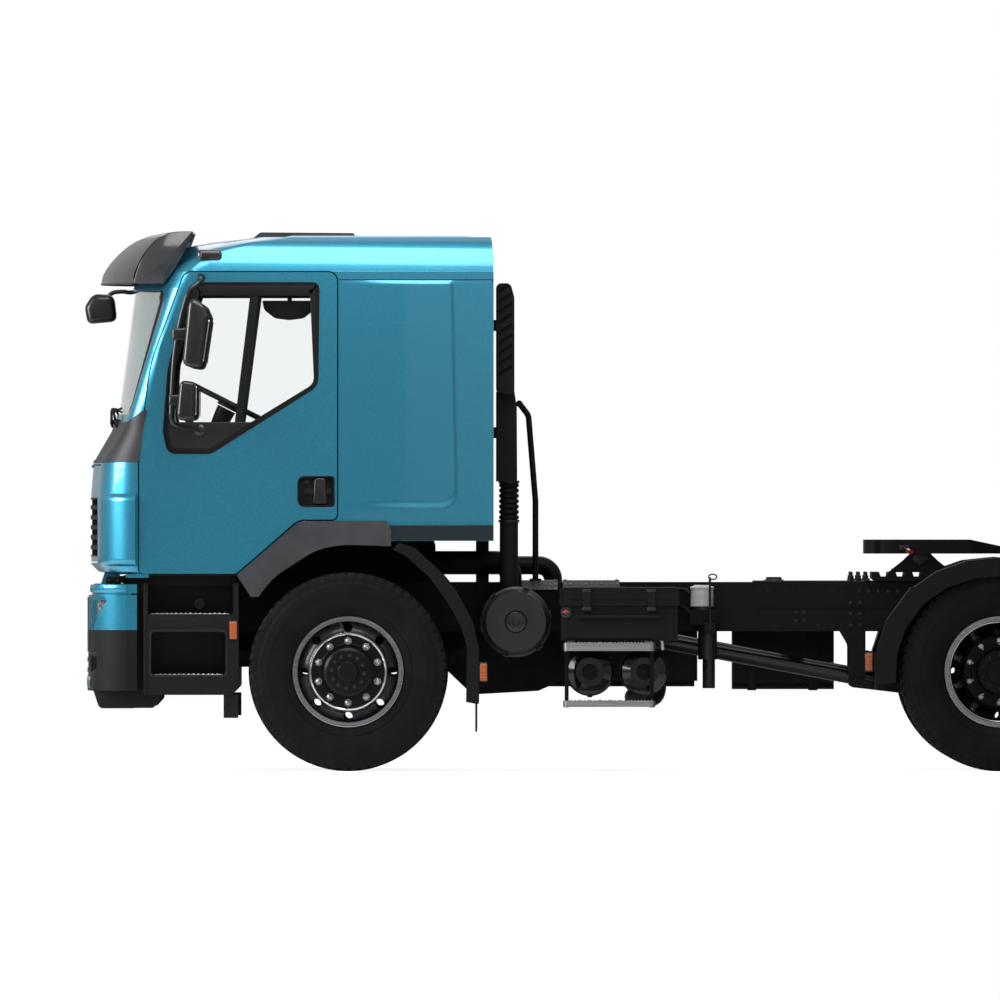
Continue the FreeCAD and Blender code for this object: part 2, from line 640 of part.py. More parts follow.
guard_outer = [(-275, 1236), (-362, 1208), (-491, 1088), (-589, 969), (-670, 818), (-707, 667),
               (-707, 365), (-690, 365)]
guard_inner = [(-637, 375), (-643, 667), (-610, 786), (-540, 910), (-443, 1045), (-319, 1158),
               (-240, 1200)]
guard_width = (848.0, 1160.0)
guard_shell = slab(guard_outer + guard_inner, "side", *guard_width)
guard_hollow = slab([(-262, 1212), (-372, 1168), (-500, 1055), (-600, 920), (-652, 790),
                     (-676, 667), (-676, 300), (-900, 300), (-900, 1300), (-262, 1300)],
                    "side", guard_width[0] - 1, guard_width[1] - 14)
flap = box(-697, -687, guard_width[0] + 10, guard_width[1] - 10, 214, 368)
guard_stay = bar((-664, frame_half, 790), (-664, guard_width[1] - 20, 790), 18)
keep("front_mudguards", *both(fuse([guard_shell.cut(guard_hollow), flap, guard_stay])))


def around_twin(radius, first, last, steps=12):
    """Arc about the rear wheel, a little flattened over the top."""
    points = []
    for i in range(steps + 1):
        turn = math.radians(first + (last - first) * i / steps)
        reach = radius * (1 - 0.085 * max(0.0, math.sin(turn)) ** 3)
        points.append((rear_x + reach * math.cos(turn), axle_z + reach * math.sin(turn)))
    return points


guard_radius = 676.0
twin_guard_y = (578.0, 1264.0)
top_sheet = slab(around_twin(guard_radius, -8, 188) + around_twin(guard_radius - 8, 188, -8),
                 "side", *twin_guard_y)
side_lip = slab(around_twin(guard_radius - 2, -6, 186) + around_twin(566, 186, -6),
                "side", twin_guard_y[1] - 8, twin_guard_y[1])
stays = [bar((rear_x + reach, root, 976), (rear_x + reach, twin_guard_y[1] - 30, 976), 19)
         for reach, root in ((470, frame_half + 8 + 2 * seat_gap), (-470, frame_half))]
lamp_plate = box(-2856, -2838 - seat_gap, twin_guard_y[1] - 80, twin_guard_y[1] - 10, 545, 640)
keep("rear_mudguards", *both(fuse([top_sheet, side_lip, lamp_plate] + stays)))


# Fifth wheel coupling

plate_front, plate_rear = -2796.0, -3700.0
mount_plate_x = (-2835.0, -3375.0)
mount_top = rail_top + 56
pivot_y = 300.0

angles = [slab([(frame_half + seat_gap, 880), (frame_half + seat_gap, rail_top + seat_gap),
                (frame_half - rail_flange, rail_top + seat_gap),
                (frame_half - rail_flange, rail_top + 8), (frame_half + 8, rail_top + 8, 8),
                (frame_half + 8, 880)], "front", -3900, -2195)]
ridges = []
count = 6
pitch = (mount_plate_x[0] - mount_plate_x[1]) / count
for i in range(count):
    front = mount_plate_x[0] - i * pitch
    ridges += [(front, mount_top), (front - pitch * 0.45, mount_top),
               (front - pitch * 0.55, mount_top - 26), (front - pitch * 0.95, mount_top - 26)]
corrugated = slab(ridges + [(mount_plate_x[1], mount_top), (mount_plate_x[1], mount_top - 34),
                            (mount_plate_x[1] + 20, rail_top + 7),
                            (mount_plate_x[0] - 20, rail_top + 7),
                            (mount_plate_x[0], mount_top - 34)], "side", -470, 470)
pedestal = slab([(coupling_x + 170, mount_top - 2), (coupling_x + 92, coupling_pivot_z - 22, 30),
                 (coupling_x + 34, coupling_pivot_z + 34, 30),
                 (coupling_x - 34, coupling_pivot_z + 34, 30),
                 (coupling_x - 92, coupling_pivot_z - 22, 30), (coupling_x - 170, mount_top - 2)],
                "side", pivot_y + 44, pivot_y + 104)
pivot = drum(coupling_x, coupling_pivot_z, 20, pivot_y - 50, pivot_y + 102)
keep("fifth_wheel_base", fuse(both(angles[0]) + [corrugated] + both(fuse([pedestal, pivot]))))

plate_half = 460.0
skirt = 76.0
plan = [(plate_front, -250, 160), (plate_front, 250, 160), (-2880, plate_half, 120),
        (-3390, plate_half, 60), (-3470, 400, 60), (plate_rear, 260, 40), (plate_rear, 135, 20),
        (coupling_x - 200, kingpin_jaw, 30), (coupling_x - 100, kingpin_jaw),
        (coupling_x - 100, -kingpin_jaw), (coupling_x - 200, -kingpin_jaw, 30),
        (plate_rear, -135, 20), (plate_rear, -260, 40), (-3470, -400, 60),
        (-3390, -plate_half, 60), (-2880, -plate_half, 120)]
plate = slab(plan, "plan", coupling_top - skirt, coupling_top)
jaw = fuse([Part.makeCylinder(kingpin_jaw, 120, V(coupling_x, 0, coupling_top - 100)),
            box(coupling_x - 101, coupling_x, -kingpin_jaw, kingpin_jaw, coupling_top - 100,
                coupling_top + 20)])
ramp = slab([(-3373, coupling_top), (plate_rear - 5, coupling_top - 70),
             (plate_rear - 5, coupling_top + 20), (-3373, coupling_top + 20)],
            "side", -plate_half - 1, plate_half + 1)
floor_z = coupling_top - 22
hollow = slab([(plate_front - 60, -230, 120), (plate_front - 60, 230, 120),
               (-2930, plate_half - 30, 90), (-3340, plate_half - 30, 40), (-3340, 150, 20),
               (coupling_x - 60, 110, 30), (coupling_x + 90, 110, 30),
               (coupling_x + 90, -110, 30), (coupling_x - 60, -110, 30), (-3340, -150, 20),
               (-3340, -plate_half + 30, 40), (-2930, -plate_half + 30, 90)],
              "plan", coupling_top - skirt - 1, floor_z)
cheeks = both(slab([(coupling_x - 70, floor_z + 1), (coupling_x - 30, coupling_pivot_z - 26, 24),
                    (coupling_x + 30, coupling_pivot_z - 26, 24), (coupling_x + 70, floor_z + 1)],
                   "side", pivot_y - 60, pivot_y + 38))
pivot_bores = both(drum(coupling_x, coupling_pivot_z, 20 + running_gap, pivot_y - 61, pivot_y + 110))
under_ramp = slab([(-3400, coupling_top - skirt - 1), (-3400, coupling_top - skirt + 14),
                   (plate_rear - 5, coupling_top - 98), (plate_rear - 5, coupling_top - skirt - 40)],
                  "side", -plate_half - 1, plate_half + 1)
plate = cut(fuse([cut(plate, [ramp, hollow])] + cheeks), [jaw] + pivot_bores)
keep("fifth_wheel_plate", plate)


# Equipment between the axles

intake_x, intake_z, intake_radius = -907.0, 807.0, 184.0
intake_y = (470.0, 1000.0)
duct_x, duct_y = -869.0, 850.0
bellows_top = 1561.0
canister = turned([(intake_y[0], 0), (intake_y[0], intake_radius - 14),
                   (intake_y[0] + 14, intake_radius), (intake_y[1] - 60, intake_radius),
                   (intake_y[1] - 52, intake_radius + 7), (intake_y[1] - 40, intake_radius + 7),
                   (intake_y[1] - 32, intake_radius - 6), (intake_y[1], intake_radius - 22),
                   (intake_y[1], 62), (intake_y[1] - 14, 56), (intake_y[1] - 14, 0)],
                  intake_x, 0, intake_z)
folds = []
fold_count, fold_low = 7, 1358.0
fold_pitch = (bellows_top - fold_low) / fold_count
for i in range(fold_count):
    low = fold_low + i * fold_pitch
    folds += [(duct_x + 44, low), (duct_x + 54, low + fold_pitch * 0.3),
              (duct_x + 54, low + fold_pitch * 0.7)]
bellows = Part.Face(outline([(duct_x, fold_low)] + folds + [(duct_x + 44, bellows_top),
                                                           (duct_x, bellows_top)],
                            "side", duct_y)).revolve(V(duct_x, duct_y, 0), V(0, 0, 1), 360)
riser = Part.makeCylinder(50, fold_low + 1 - intake_z - 122, V(duct_x, duct_y, intake_z + 122))
outlet = tube([(duct_x - 10, 560, intake_z + 100), (duct_x - 10, 560, 1130), (-560, 560, 1130),
               (-420, 440, 1130), (-420, 290 + seat_gap, 1130)], 60, 80)
intake_arm = box(-960, -860, frame_half, intake_y[0] + 10, 760, 860)
keep("air_intake", fuse([canister, bellows, riser, outlet, intake_arm]))

catwalk_x = ((-891.0, -1134.0), (-1161.0, -1469.0))
walk_half = frame_half + 18
walks = [fuse([box(rear, front, -walk_half, walk_half, rail_top + seat_gap, walk_top)]
              + both(box(rear, front, walk_half - 6, walk_half, rail_top - 40, walk_top)))
         for front, rear in catwalk_x]

battery_x = (-1795.0, -1137.0)
battery_y = (frame_half + 30, 1150.0)
battery_z = (706.0, 994.0)
battery_case = slab([(battery_y[0], battery_z[0], 10), (battery_y[1] - 12, battery_z[0], 20),
                     (battery_y[1] - 12, battery_z[1] - 26, 20), (battery_y[0], battery_z[1] - 26, 10)],
                    "front", battery_x[0] + 14, battery_x[1] - 14)
battery_lid = slab([(battery_x[0], battery_z[1] - 100, 12), (battery_x[0] + 18, battery_z[1], 22),
                    (battery_x[1] - 18, battery_z[1], 22), (battery_x[1], battery_z[1] - 100, 12)],
                   "side", battery_y[0] - 2, battery_y[1])
ribs = [slab([(battery_x[0] + x, z - 9, 4), (battery_x[0] + x, z + 9, 4), (battery_x[1] - x, z + 9, 4),
              (battery_x[1] - x, z - 9, 4)], "side", battery_y[1] - 14, battery_y[1] + 6)
        for x, z in ((60, 942), (95, 838))]
battery_arms = [box(x, x + 70, frame_half, battery_y[0] + 2, 780, 900) for x in (-1700, -1300)]
keep("battery_box", fuse([battery_case, battery_lid] + ribs + battery_arms))

tank_radius, tank_z = 128.0, 537.0
tank_x = (-1307.0, -1600.0)
tank_y = (452.0, 985.0)
tank_parts = []
for x in tank_x:
    tank_parts.append(turned([(tank_y[0], 0), (tank_y[0], tank_radius * 0.6),
                              (tank_y[0] + 28, tank_radius * 0.93),
                              (tank_y[0] + 55, tank_radius), (tank_y[1] - 55, tank_radius),
                              (tank_y[1] - 28, tank_radius * 0.93),
                              (tank_y[1], tank_radius * 0.6), (tank_y[1], 0)], x, 0, tank_z))
    tank_parts += [box(x - 60, x + 60, y, y + 40, tank_z + 90, battery_z[0]) for y in (540, 840)]
dryer = [Part.makeCylinder(62, 122, V(-1915, frame_half + 130, 868)),
         Part.makeCone(62, 40, 16, V(-1915, frame_half + 130, 990)),
         box(-2000, -1850, frame_half, frame_half + 200, 790, 870),
         Part.makeCylinder(52, 190, V(-1945, frame_half + 130, 602)),
         Part.makeCylinder(34, 160, V(-1952, frame_half + 130, 446))]
keep("air_system", fuse(tank_parts), fuse(dryer))

tread_z = ((651.0, 694.0), (348.0, 381.0))
tread_y = (1004.0, 1164.0)
tread_x = (-1660.0, -1162.0)
treads = []
for low, high in tread_z:
    frame_ring = slab([(tread_x[0], tread_y[0], 20), (tread_x[0], tread_y[1], 30),
                       (tread_x[1], tread_y[1], 30), (tread_x[1], tread_y[0], 20)], "plan", low, high)
    slots = [slab([(x, tread_y[0] + 26, 8), (x, tread_y[1] - 24, 8), (x + 34, tread_y[1] - 24, 8),
                   (x + 34, tread_y[0] + 26, 8)], "plan", low - 1, high + 1)
             for x in [tread_x[0] + 28 + 56 * i for i in range(8)]]
    treads.append(cut(frame_ring, slots))
posts = [box(x, x + 22, tread_y[0] - 4, tread_y[0] + 30, 344, 700) for x in (tread_x[0] + 8,
                                                                            tread_x[1] - 30)]
hangers = [box(x, x + 40, tread_y[0] - 60, tread_y[0] + 30, 694, battery_z[0])
           for x in (tread_x[0] + 20, tread_x[1] - 60)]
keep("catwalk", *walks, fuse(treads + posts + hangers))

fuel_x = (-2640.0, -2087.0)
fuel_y = (-1130.0, -frame_half - 48)
fuel_z = (435.0, 985.0)
fuel = slab([(fuel_y[0], fuel_z[0], 110), (fuel_y[1], fuel_z[0], 50), (fuel_y[1], fuel_z[1], 50),
             (fuel_y[0], fuel_z[1], 90)], "front", *fuel_x)
straps = []
for x in (fuel_x[0] + 90, fuel_x[1] - 130):
    straps.append(slab([(fuel_y[0] - 6, fuel_z[0] - 6, 116), (fuel_y[1] + 23, fuel_z[0] - 6, 20),
                        (fuel_y[1] + 23, fuel_z[1] + 6, 20), (fuel_y[0] - 6, fuel_z[1] + 6, 96)],
                       "front", x, x + 46))
filler = Part.makeCylinder(52, 60, V(fuel_x[1] - 230, fuel_y[0] + 110, fuel_z[1] - 30))
fuel_arms = [box(x, x + 46, fuel_y[1] + 20, -frame_half, 780, 870)
             for x in (fuel_x[0] + 90, fuel_x[1] - 130)]
keep("fuel_tank", fuse([fuel, filler] + straps + fuel_arms))

silencer_x = (-1880.0, -960.0)
silencer_y = (-1140.0, -frame_half - 30)
silencer_z = (450.0, 985.0)
silencer = slab([(silencer_y[0], silencer_z[0], 90), (silencer_y[1], silencer_z[0], 40),
                 (silencer_y[1], silencer_z[1], 40), (silencer_y[0], silencer_z[1], 90)],
                "front", *silencer_x)
ends = [slab([(silencer_y[0] + 30, silencer_z[0] + 30, 70), (silencer_y[1] - 30, silencer_z[0] + 30, 30),
              (silencer_y[1] - 30, silencer_z[1] - 30, 30), (silencer_y[0] + 30, silencer_z[1] - 30, 70)],
             "front", silencer_x[0] - 16, silencer_x[1] + 16)]
tail = tube([(silencer_x[0] + 200, -760, silencer_z[0] + 20), (silencer_x[0] + 200, -760, 390),
             (silencer_x[0] + 330, -1000, 390), (silencer_x[0] + 330, -1160, 390)], 48, 60)
inlet = tube([(silencer_x[1] - 150, -620, silencer_z[1] - 20), (silencer_x[1] - 150, -620, 1110),
              (-560, -540, 1110), (-420, -430, 1110), (-420, -290 - seat_gap, 1110)], 50, 80)
silencer_arms = [box(x, x + 60, silencer_y[1] - 2, -frame_half, 780, 940)
                 for x in (silencer_x[0] + 120, silencer_x[1] - 200)]
keep("silencer", fuse([silencer, tail, inlet] + ends + silencer_arms))


# Tail lamps and side markers

lamp_x = rail_end - 44
lamp_y = (640.0, 1100.0)
tail_bar = [box(rail_end - 10, rail_end, -frame_half - 20, frame_half + 20, 790, 990)]
lamp_arm = fuse([box(rail_end - 8, rail_end + 60, frame_half + seat_gap, lamp_y[1] - 30, 838, 876),
                 slab([(lamp_y[0], 790, 18), (lamp_y[1], 790, 18), (lamp_y[1], 925, 18),
                       (lamp_y[0], 925, 18)], "front", lamp_x, rail_end - 6)])
marker = (48.0, 18.0, 104.0)
marker_spots = [(step_rear + 4, step_outer + seat_gap, 710), (-707 - seat_gap - marker[0], guard_width[1] - marker[1], 484),
                (-2838, twin_guard_y[1] - 70, 540)]
markers = [box(x, x + marker[0], y, y + marker[1], z, z + marker[2]) for x, y, z in marker_spots]
keep("marker_lamps", fuse(tail_bar + both(lamp_arm)),
     *[solid for shape in markers for solid in both(shape)])


# Cab: height, front, bow of the front, half width of the bow, start of the corner,
# half width and rear wall of each level of the outer skin

screen_middle = screen_bottom + 0.55 * (screen_top - screen_bottom)
cab_levels = [
    (cab_bottom, 1290, 40, 880, 1100, cab_half, cab_rear),
    (cab_bottom + 14, 1360, 50, 900, 1118, cab_half, cab_rear),
    (cab_bottom + 54, cab_front, 55, 920, door_front, cab_half, cab_rear),
    (1500, cab_front, 55, 920, door_front, cab_half, cab_rear),
    (cowl_bottom, cab_front - 14, 55, 930, door_front - 2, cab_half, cab_rear),
    (1841, cab_front - 116, 70, 1000, 1108, cab_half, cab_rear),
    (screen_bottom, cab_front - 136, 78, 1060, 1092, cab_half, cab_rear),
    (screen_middle, cab_front - 187, 146, 1050, 1015, cab_half, cab_rear),
    (screen_top, cab_front - 228, 200, 1040, 890, cab_half, cab_rear),
    (roof_seam - 5, cab_front - 272, 205, 1025, 850, cab_half, cab_rear),
    (roof_top - 96, cab_front - 385, 200, 985, 740, cab_half - 22, cab_rear + 2),
    (roof_top - 36, cab_front - 580, 150, 900, 560, cab_half - 70, cab_rear + 6),
    (roof_top, cab_front - 871, 80, 800, 330, cab_half - 140, cab_rear + 14)]


def cab_block(inset):
    """Solid bounded by the cab's outer skin, or by a skin that lies inside it."""
    wires = []
    for level, front, crown, front_half, side, half, rear in cab_levels[2 if inset > 0 else 0:]:
        height = level - inset if level > roof_seam else level
        if inset > 0 and not wires:
            wires.append(nose(front, crown, front_half, side, half, rear, inset, cab_bottom - 80))
        wires.append(nose(front, crown, front_half, side, half, rear, inset, height))
    return Part.makeLoft(wires, True, True)


wide = cab_half + 60
bay_half = 720.0
well_y = 760.0
floor_under = floor_top - 40
firewall = (1190.0, 1230.0)
firewall_top = 1850.0
well_floor = 1092.0

under_line = [(cab_rear - 50, 800), (cab_rear - 50, cab_rear_bottom), (-227, cab_rear_bottom, 8),
              (-215, arch_top, 20), (266, arch_top, 90), (598, cab_bottom - 2), (598, 800)]
door_line = [(door_front, cab_bottom + 4, 25), (door_front, 1700, 400),
             (1065, 0.5 * (1700 + door_top), 900),
             (880, door_top, 60), (door_rear, door_top, 50),
             (door_rear, arch_top + panel_gap, 30), (270, arch_top + panel_gap, 90),
             (605, cab_bottom + 4, 40)]
window_top = door_top - 54
window_line = [(840, window_top, 50), (153, window_top, 45), (160, 2080, 90), (740, 1714, 80),
               (975, 1714, 60), (1002, 1830, 150), (975, 0.5 * (1714 + window_top), 500)]
sill_z = 1887.0
divider_line = [(518, window_top + 17), (470, window_top + 17), (572, sill_z - 10), (613, sill_z - 10)]
lid_half = 930.0
lid_line = [(-lid_half, 1132, 50), (lid_half, 1132, 50), (lid_half, cowl_bottom - 14, 40),
            (-lid_half, cowl_bottom - 14, 40)]
screen_line = [(-1058, screen_bottom + 14, 60), (1058, screen_bottom + 14, 60),
               (1020, screen_top - 12, 70), (-1020, screen_top - 12, 70)]
hatch_x = (-38.0, 520.0)
hatch_half = 300.0

outer_skin = cab_block(0).cut(slab(under_line, "side", -wide, wide))
inner_skin = cab_block(cab_wall)


def inside(x0, x1, half, z0, z1):
    """Part of the space within the walls, between the given limits."""
    return inner_skin.common(box(x0, x1, -half, half, z0, z1))


room = inside(cab_rear, cab_front, wide, floor_top, roof_top).cut(
    box(firewall[0], firewall[1], -wide, wide, floor_top - 1, firewall_top))
spaces = [room,
          inside(cab_rear + cab_wall, firewall[1] + 300, bay_half, 800, floor_under),
          inside(1140, 1500, wide, 800, floor_under),
          inside(firewall[1], 1500, wide, 800, firewall_top),
          inside(cab_rear + cab_wall, -270, wide, 800, floor_under)]
spaces += both(box(650, 1100, well_y, cab_half - cab_wall, well_floor, floor_top + 1))
door_gaps = both(grown(door_line, "side", 700, wide, panel_gap).cut(cab_block(cab_wall + 20)))
openings = [grown(lid_line, "front", 1260, 1500, panel_gap),
            slab(screen_line, "front", 700, 1450),
            box(hatch_x[0] + 20, hatch_x[1] - 20, -hatch_half + 20, hatch_half - 20,
                roof_top - 120, roof_top + 20)]
walls = cut(outer_skin, spaces + door_gaps + openings)
tilt_arms = both(fuse([slab([(tilt_x - 60, cab_bottom + 100), (tilt_x - 40, tilt_z - 8, 34),
                             (tilt_x + 40, tilt_z - 40, 34), (tilt_x + 42, tilt_z + 50, 40),
                             (tilt_x - 6, cab_bottom + 100)], "side", 468, 508),
                       box(tilt_x - 160, tilt_x - 10, 460, 516, cab_bottom + 70, cab_bottom + 110)]))
cross_sill = box(1130, tilt_x - 40, -cab_half + 80, cab_half - 80, cab_bottom + 80,
                 cab_bottom + 130).common(inner_skin)
rest_pads = both(box(-760, -690, frame_half - 25, frame_half + 73, rest_top + seat_gap,
                     cab_rear_bottom + 1))
rest_beam = box(-760, -690, -cab_half + 50, cab_half - 50, cab_rear_bottom, cab_rear_bottom + 60)
hinge_x, hinge_y = door_hinge
door_lug = fuse([box(hinge_x - 14, 1200, hinge_y - 14, hinge_y + 7, cab_bottom - 18, cab_bottom + 1),
                 Part.makeCylinder(5, 80, V(hinge_x, hinge_y, cab_bottom - 10))])
lid_x, lid_z = lid_hinge
lid_knuckle = fuse([drum(lid_x, lid_z, 9, 171, 200), drum(lid_x, lid_z, 5, 135, 180),
                    box(lid_x - 40, lid_x - 2, 171, 200, lid_z, lid_z + 34)])
pin_bores = both(drum(tilt_x, tilt_z, pivot_radius + running_gap, 460, 520))
barrel_x, barrel_z = hatch_hinge
hatch_stand = fuse([drum(barrel_x, barrel_z, 8, 161, 200), drum(barrel_x, barrel_z, 4, 125, 170),
                    box(barrel_x - 8, barrel_x + 2, 161, 200, roof_top - 30, barrel_z)])
below = box(-3000, 3000, -wide, wide, 0, roof_seam)
shell = cut(fuse([walls.common(below), cross_sill, rest_beam] + tilt_arms + rest_pads
                 + both(door_lug) + both(lid_knuckle)), pin_bores)
keep("cab_shell", shell)
keep("cab_roof", fuse([walls.cut(below)] + both(hatch_stand)))


def skin_layer(depth, thick):
    """Layer of the skin between two depths below the outer surface."""
    return cab_block(depth).cut(cab_block(depth + thick))


screen = skin_layer(12, 6).common(grown(screen_line, "front", 700, 1450, -seat_gap))
keep("windscreen", screen)

door_walls = cab_block(0).cut(inner_skin)
door = door_walls.common(slab(door_line, "side", 700, wide))
glass_cut = slab(window_line, "side", 700, wide)
handle_recess = slab([(74, 1430, 20), (272, 1430, 40), (272, 1594, 40), (74, 1594, 20)], "side",
                     cab_half - 22, wide)
handle = slab([(88, 1496, 12), (240, 1496, 12), (240, 1532, 12), (88, 1532, 12)], "side",
              cab_half - 23, cab_half - 4)
hinge_bore = Part.makeCylinder(5 + running_gap, 80, V(hinge_x, hinge_y, cab_bottom - 5))
divider = skin_layer(10, 22).common(slab(divider_line, "side", 700, wide))
door = cut(fuse([cut(door, [glass_cut, handle_recess]), handle, divider]), [hinge_bore])
window = grown(window_line, "side", 700, wide, -seat_gap)
below_sill = box(0, 1200, 700, wide, cowl_bottom, sill_z)
above_sill = box(0, 1200, 700, wide, sill_z + seat_gap, door_top)
pane = skin_layer(20, 6).common(window).common(above_sill).cut(
    grown(divider_line, "side", 700, wide, seat_gap))
mirror_base = skin_layer(4, 26).common(window).common(below_sill).cut(
    grown(divider_line, "side", 700, wide, seat_gap))
keep("door_left", door)
keep("door_right", mirrored(door))
keep("door_glass_left", pane)
keep("door_glass_right", mirrored(pane))

lid = door_walls.common(slab(lid_line, "front", 1260, 1500))
slat_pitch, slat_gap = 54.0, 30.0
slots = [slab([(-820, z, 12), (820, z, 12), (820, z + slat_gap, 12), (-820, z + slat_gap, 12)],
              "front", 1200, 1500) for z in [1168 + slat_pitch * i for i in range(6)]]
lid_space = both(box(lid_x - 45, lid_x + 20, 166, 205, lid_z - 14, lid_z + 30))
lid_barrel = drum(lid_x, lid_z, 9, 130, 166)
lid_bores = both(drum(lid_x, lid_z, 5 + running_gap, 120, 186))
keep("front_panel", cut(fuse([cut(lid, slots + lid_space)] + both(lid_barrel)), lid_bores))

hatch_low = roof_top + seat_gap
hatch = slab([(hatch_x[0], hatch_low), (hatch_x[0] + 10, hatch_low + 28, 12),
              (hatch_x[1] - 40, hatch_low + 32, 30), (hatch_x[1], hatch_low)], "side",
             -hatch_half, hatch_half)
hatch = hatch.cut(slab([(hatch_x[0] + 30, hatch_low - 1), (hatch_x[0] + 36, hatch_low + 18),
                        (hatch_x[1] - 60, hatch_low + 20), (hatch_x[1] - 30, hatch_low - 1)],
                       "side", -hatch_half + 20, hatch_half - 20))
hatch_barrel = fuse([drum(barrel_x, barrel_z, 8, 120, 160),
                     box(barrel_x, hatch_x[0] + 12, 120, 160, hatch_low, barrel_z + 7)])
hatch_bores = both(drum(barrel_x, barrel_z, 4 + running_gap, 110, 172))
keep("roof_hatch", cut(fuse([hatch] + both(hatch_barrel)), hatch_bores))


# Visor, snorkel, arch trims and mirrors

skin_clear = cab_block(-seat_gap)
visor_half = 1000.0
visor_line = [(1346, -252), (1296, -140), (1191, -38), (1048, 26), (839, 33),
              (839, 19), (1042, 13), (1183, -49), (1285, -147), (1334, -254)]
visor_bow = 0.36
visor_wires = []
for share in (-1.0, -0.75, -0.4, 0.0, 0.4, 0.75, 1.0):
    ring = [V(839 + (x - 839) * (1 - visor_bow * share * share), visor_half * share, roof_top + z)
            for x, z in visor_line]
    visor_wires.append(Part.makePolygon(ring + ring[:1]))
visor = Part.makeLoft(visor_wires, True, True)
stalks = [box(862, 890, y - 14, y + 14, roof_top - 126, roof_top + 22) for y in (-760, 0, 760)]
end_line = [(1164, -252), (1131, -140), (1066, -38), (972, 26), (839, 33), (880, -59, 40),
            (945, -173, 60), (1000, -252)]
visor_ends = both(slab([(x, roof_top + z, *turn) for x, z, *turn in end_line], "side",
                       visor_half - 10, visor_half))
keep("sun_visor", fuse([visor] + [stalk.cut(skin_clear) for stalk in stalks + visor_ends]))

snorkel_y = (700.0, 1000.0)
snorkel_top = roof_top - 248
snorkel = fuse([slab([(-799, 2050, 20), (-799, snorkel_top, 30), (-878, snorkel_top, 30),
                      (-899, snorkel_top - 78, 60), (-899, 2033, 20)], "side", *snorkel_y),
                slab([(-799, bellows_top + 5), (-799, 2052), (-899, 2052), (-912, 1968, 30),
                      (-914, bellows_top + 5)], "side", duct_y - 75, duct_y + 75),
                box(-800, cab_rear - seat_gap, duct_y - 60, duct_y + 60, 2380, 2440),
                box(-800, cab_rear - seat_gap, duct_y - 60, duct_y + 60, 1800, 1860)])
louvres = []
louvre_count = 9
for i in range(louvre_count):
    z = 2130 + i * (snorkel_top - 2134) / louvre_count
    louvres.append(slab([(-812, z), (-886, z + 46), (-886, z + 70), (-812, z + 24)], "side",
                        snorkel_y[1] - 14, snorkel_y[1] + 1))
keep("snorkel", cut(snorkel, louvres))

trim_y = (1100.0, cab_half + 18)
trim_line = [(600, 1058, 8), (262, arch_top - seat_gap, 92), (-208, arch_top - seat_gap, 14),
             (-232, 1300, 30), (-232, 1216), (38, 1226, 500), (178, 1194, 300), (400, 1050, 300),
             (486, 942), (524, 942, 6)]
liner_line = [(-232, 1224), (38, 1234, 508), (181, 1202, 308), (407, 1055, 308), (494, 946),
              (486, 942), (400, 1050, 300), (178, 1194, 300), (38, 1226, 500), (-232, 1216)]
body_clear = skin_clear.cut(grown(under_line, "side", -wide, wide, -seat_gap))
trim = fuse([slab(trim_line, "side", cab_half - 8, trim_y[1]).cut(body_clear),
             slab(liner_line, "side", 850, cab_half - 7),
             box(-200, 40, 1000, 1060, 1229, arch_top - seat_gap)])
keep("arch_trims", *both(trim))

arm_foot = window_top + 25
tube_line = [(794, cab_half - 8, arm_foot), (800, 1290, arm_foot - 28), (875, 1310, arm_foot - 108),
             (930, 1310, 2290),
             (955, 1310, 1960), (930, 1290, 1870), (800, cab_half - 8, 1848)]
mirror_arm = tube(tube_line, 13, 30)
main_glass = slab([(855, 2579, 30), (772, 2513, 20), (748, 2458, 20), (790, 2173, 30),
                   (893, 2190, 30)], "side", 1205, 1425)
wide_glass = slab([(905, 2114, 24), (822, 2100, 20), (826, 1902, 24), (925, 1890, 24)], "side",
                  1210, 1400)
clamps = [box(870, 945, 1296, 1324, 2330, 2390), box(900, 962, 1296, 1324, 1980, 2030)]
mirror = fuse([mirror_arm, main_glass, wide_glass] + clamps).cut(skin_clear)
feet = [bar((794, cab_half + seat_gap, arm_foot), (794, cab_half + 14, arm_foot), 22),
        bar((800, cab_half - 10, 1840), (800, cab_half + 14, 1840), 30)]
mirror = fuse([mirror, mirror_base] + feet)
kerb_mirror = fuse([slab([(190, 2452, 14), (215, 2505, 30), (330, 2556, 60), (445, 2505, 30),
                          (470, 2452, 14)], "side", -1360, -1190),
                    bar((330, -1230, 2540), (330, -1174, arm_foot), 13),
                    bar((330, -1192, arm_foot), (330, -cab_half - seat_gap, arm_foot), 20)])
keep("mirrors_left", mirror)
keep("mirrors_right", mirrored(mirror), kerb_mirror)

front_mirror = slab([(front_reach - 178, roof_top - 446, 30), (front_reach - 162, roof_top - 301, 40),
                     (front_reach - 47, roof_top - 294, 50), (front_reach, roof_top - 366, 40),
                     (front_reach - 17, roof_top - 460, 20)], "side", -960, -760)
front_arm = tube([(front_reach - 117, -860, roof_top - 346), (front_reach - 157, -880, roof_top - 286),
                  (1180, -890, roof_top - 286), (940, -905, roof_top - 186)], 12, 24).cut(skin_clear)
keep("front_mirror", fuse([front_mirror, front_arm]))


# Seats, bunk, dashboard and steering wheel

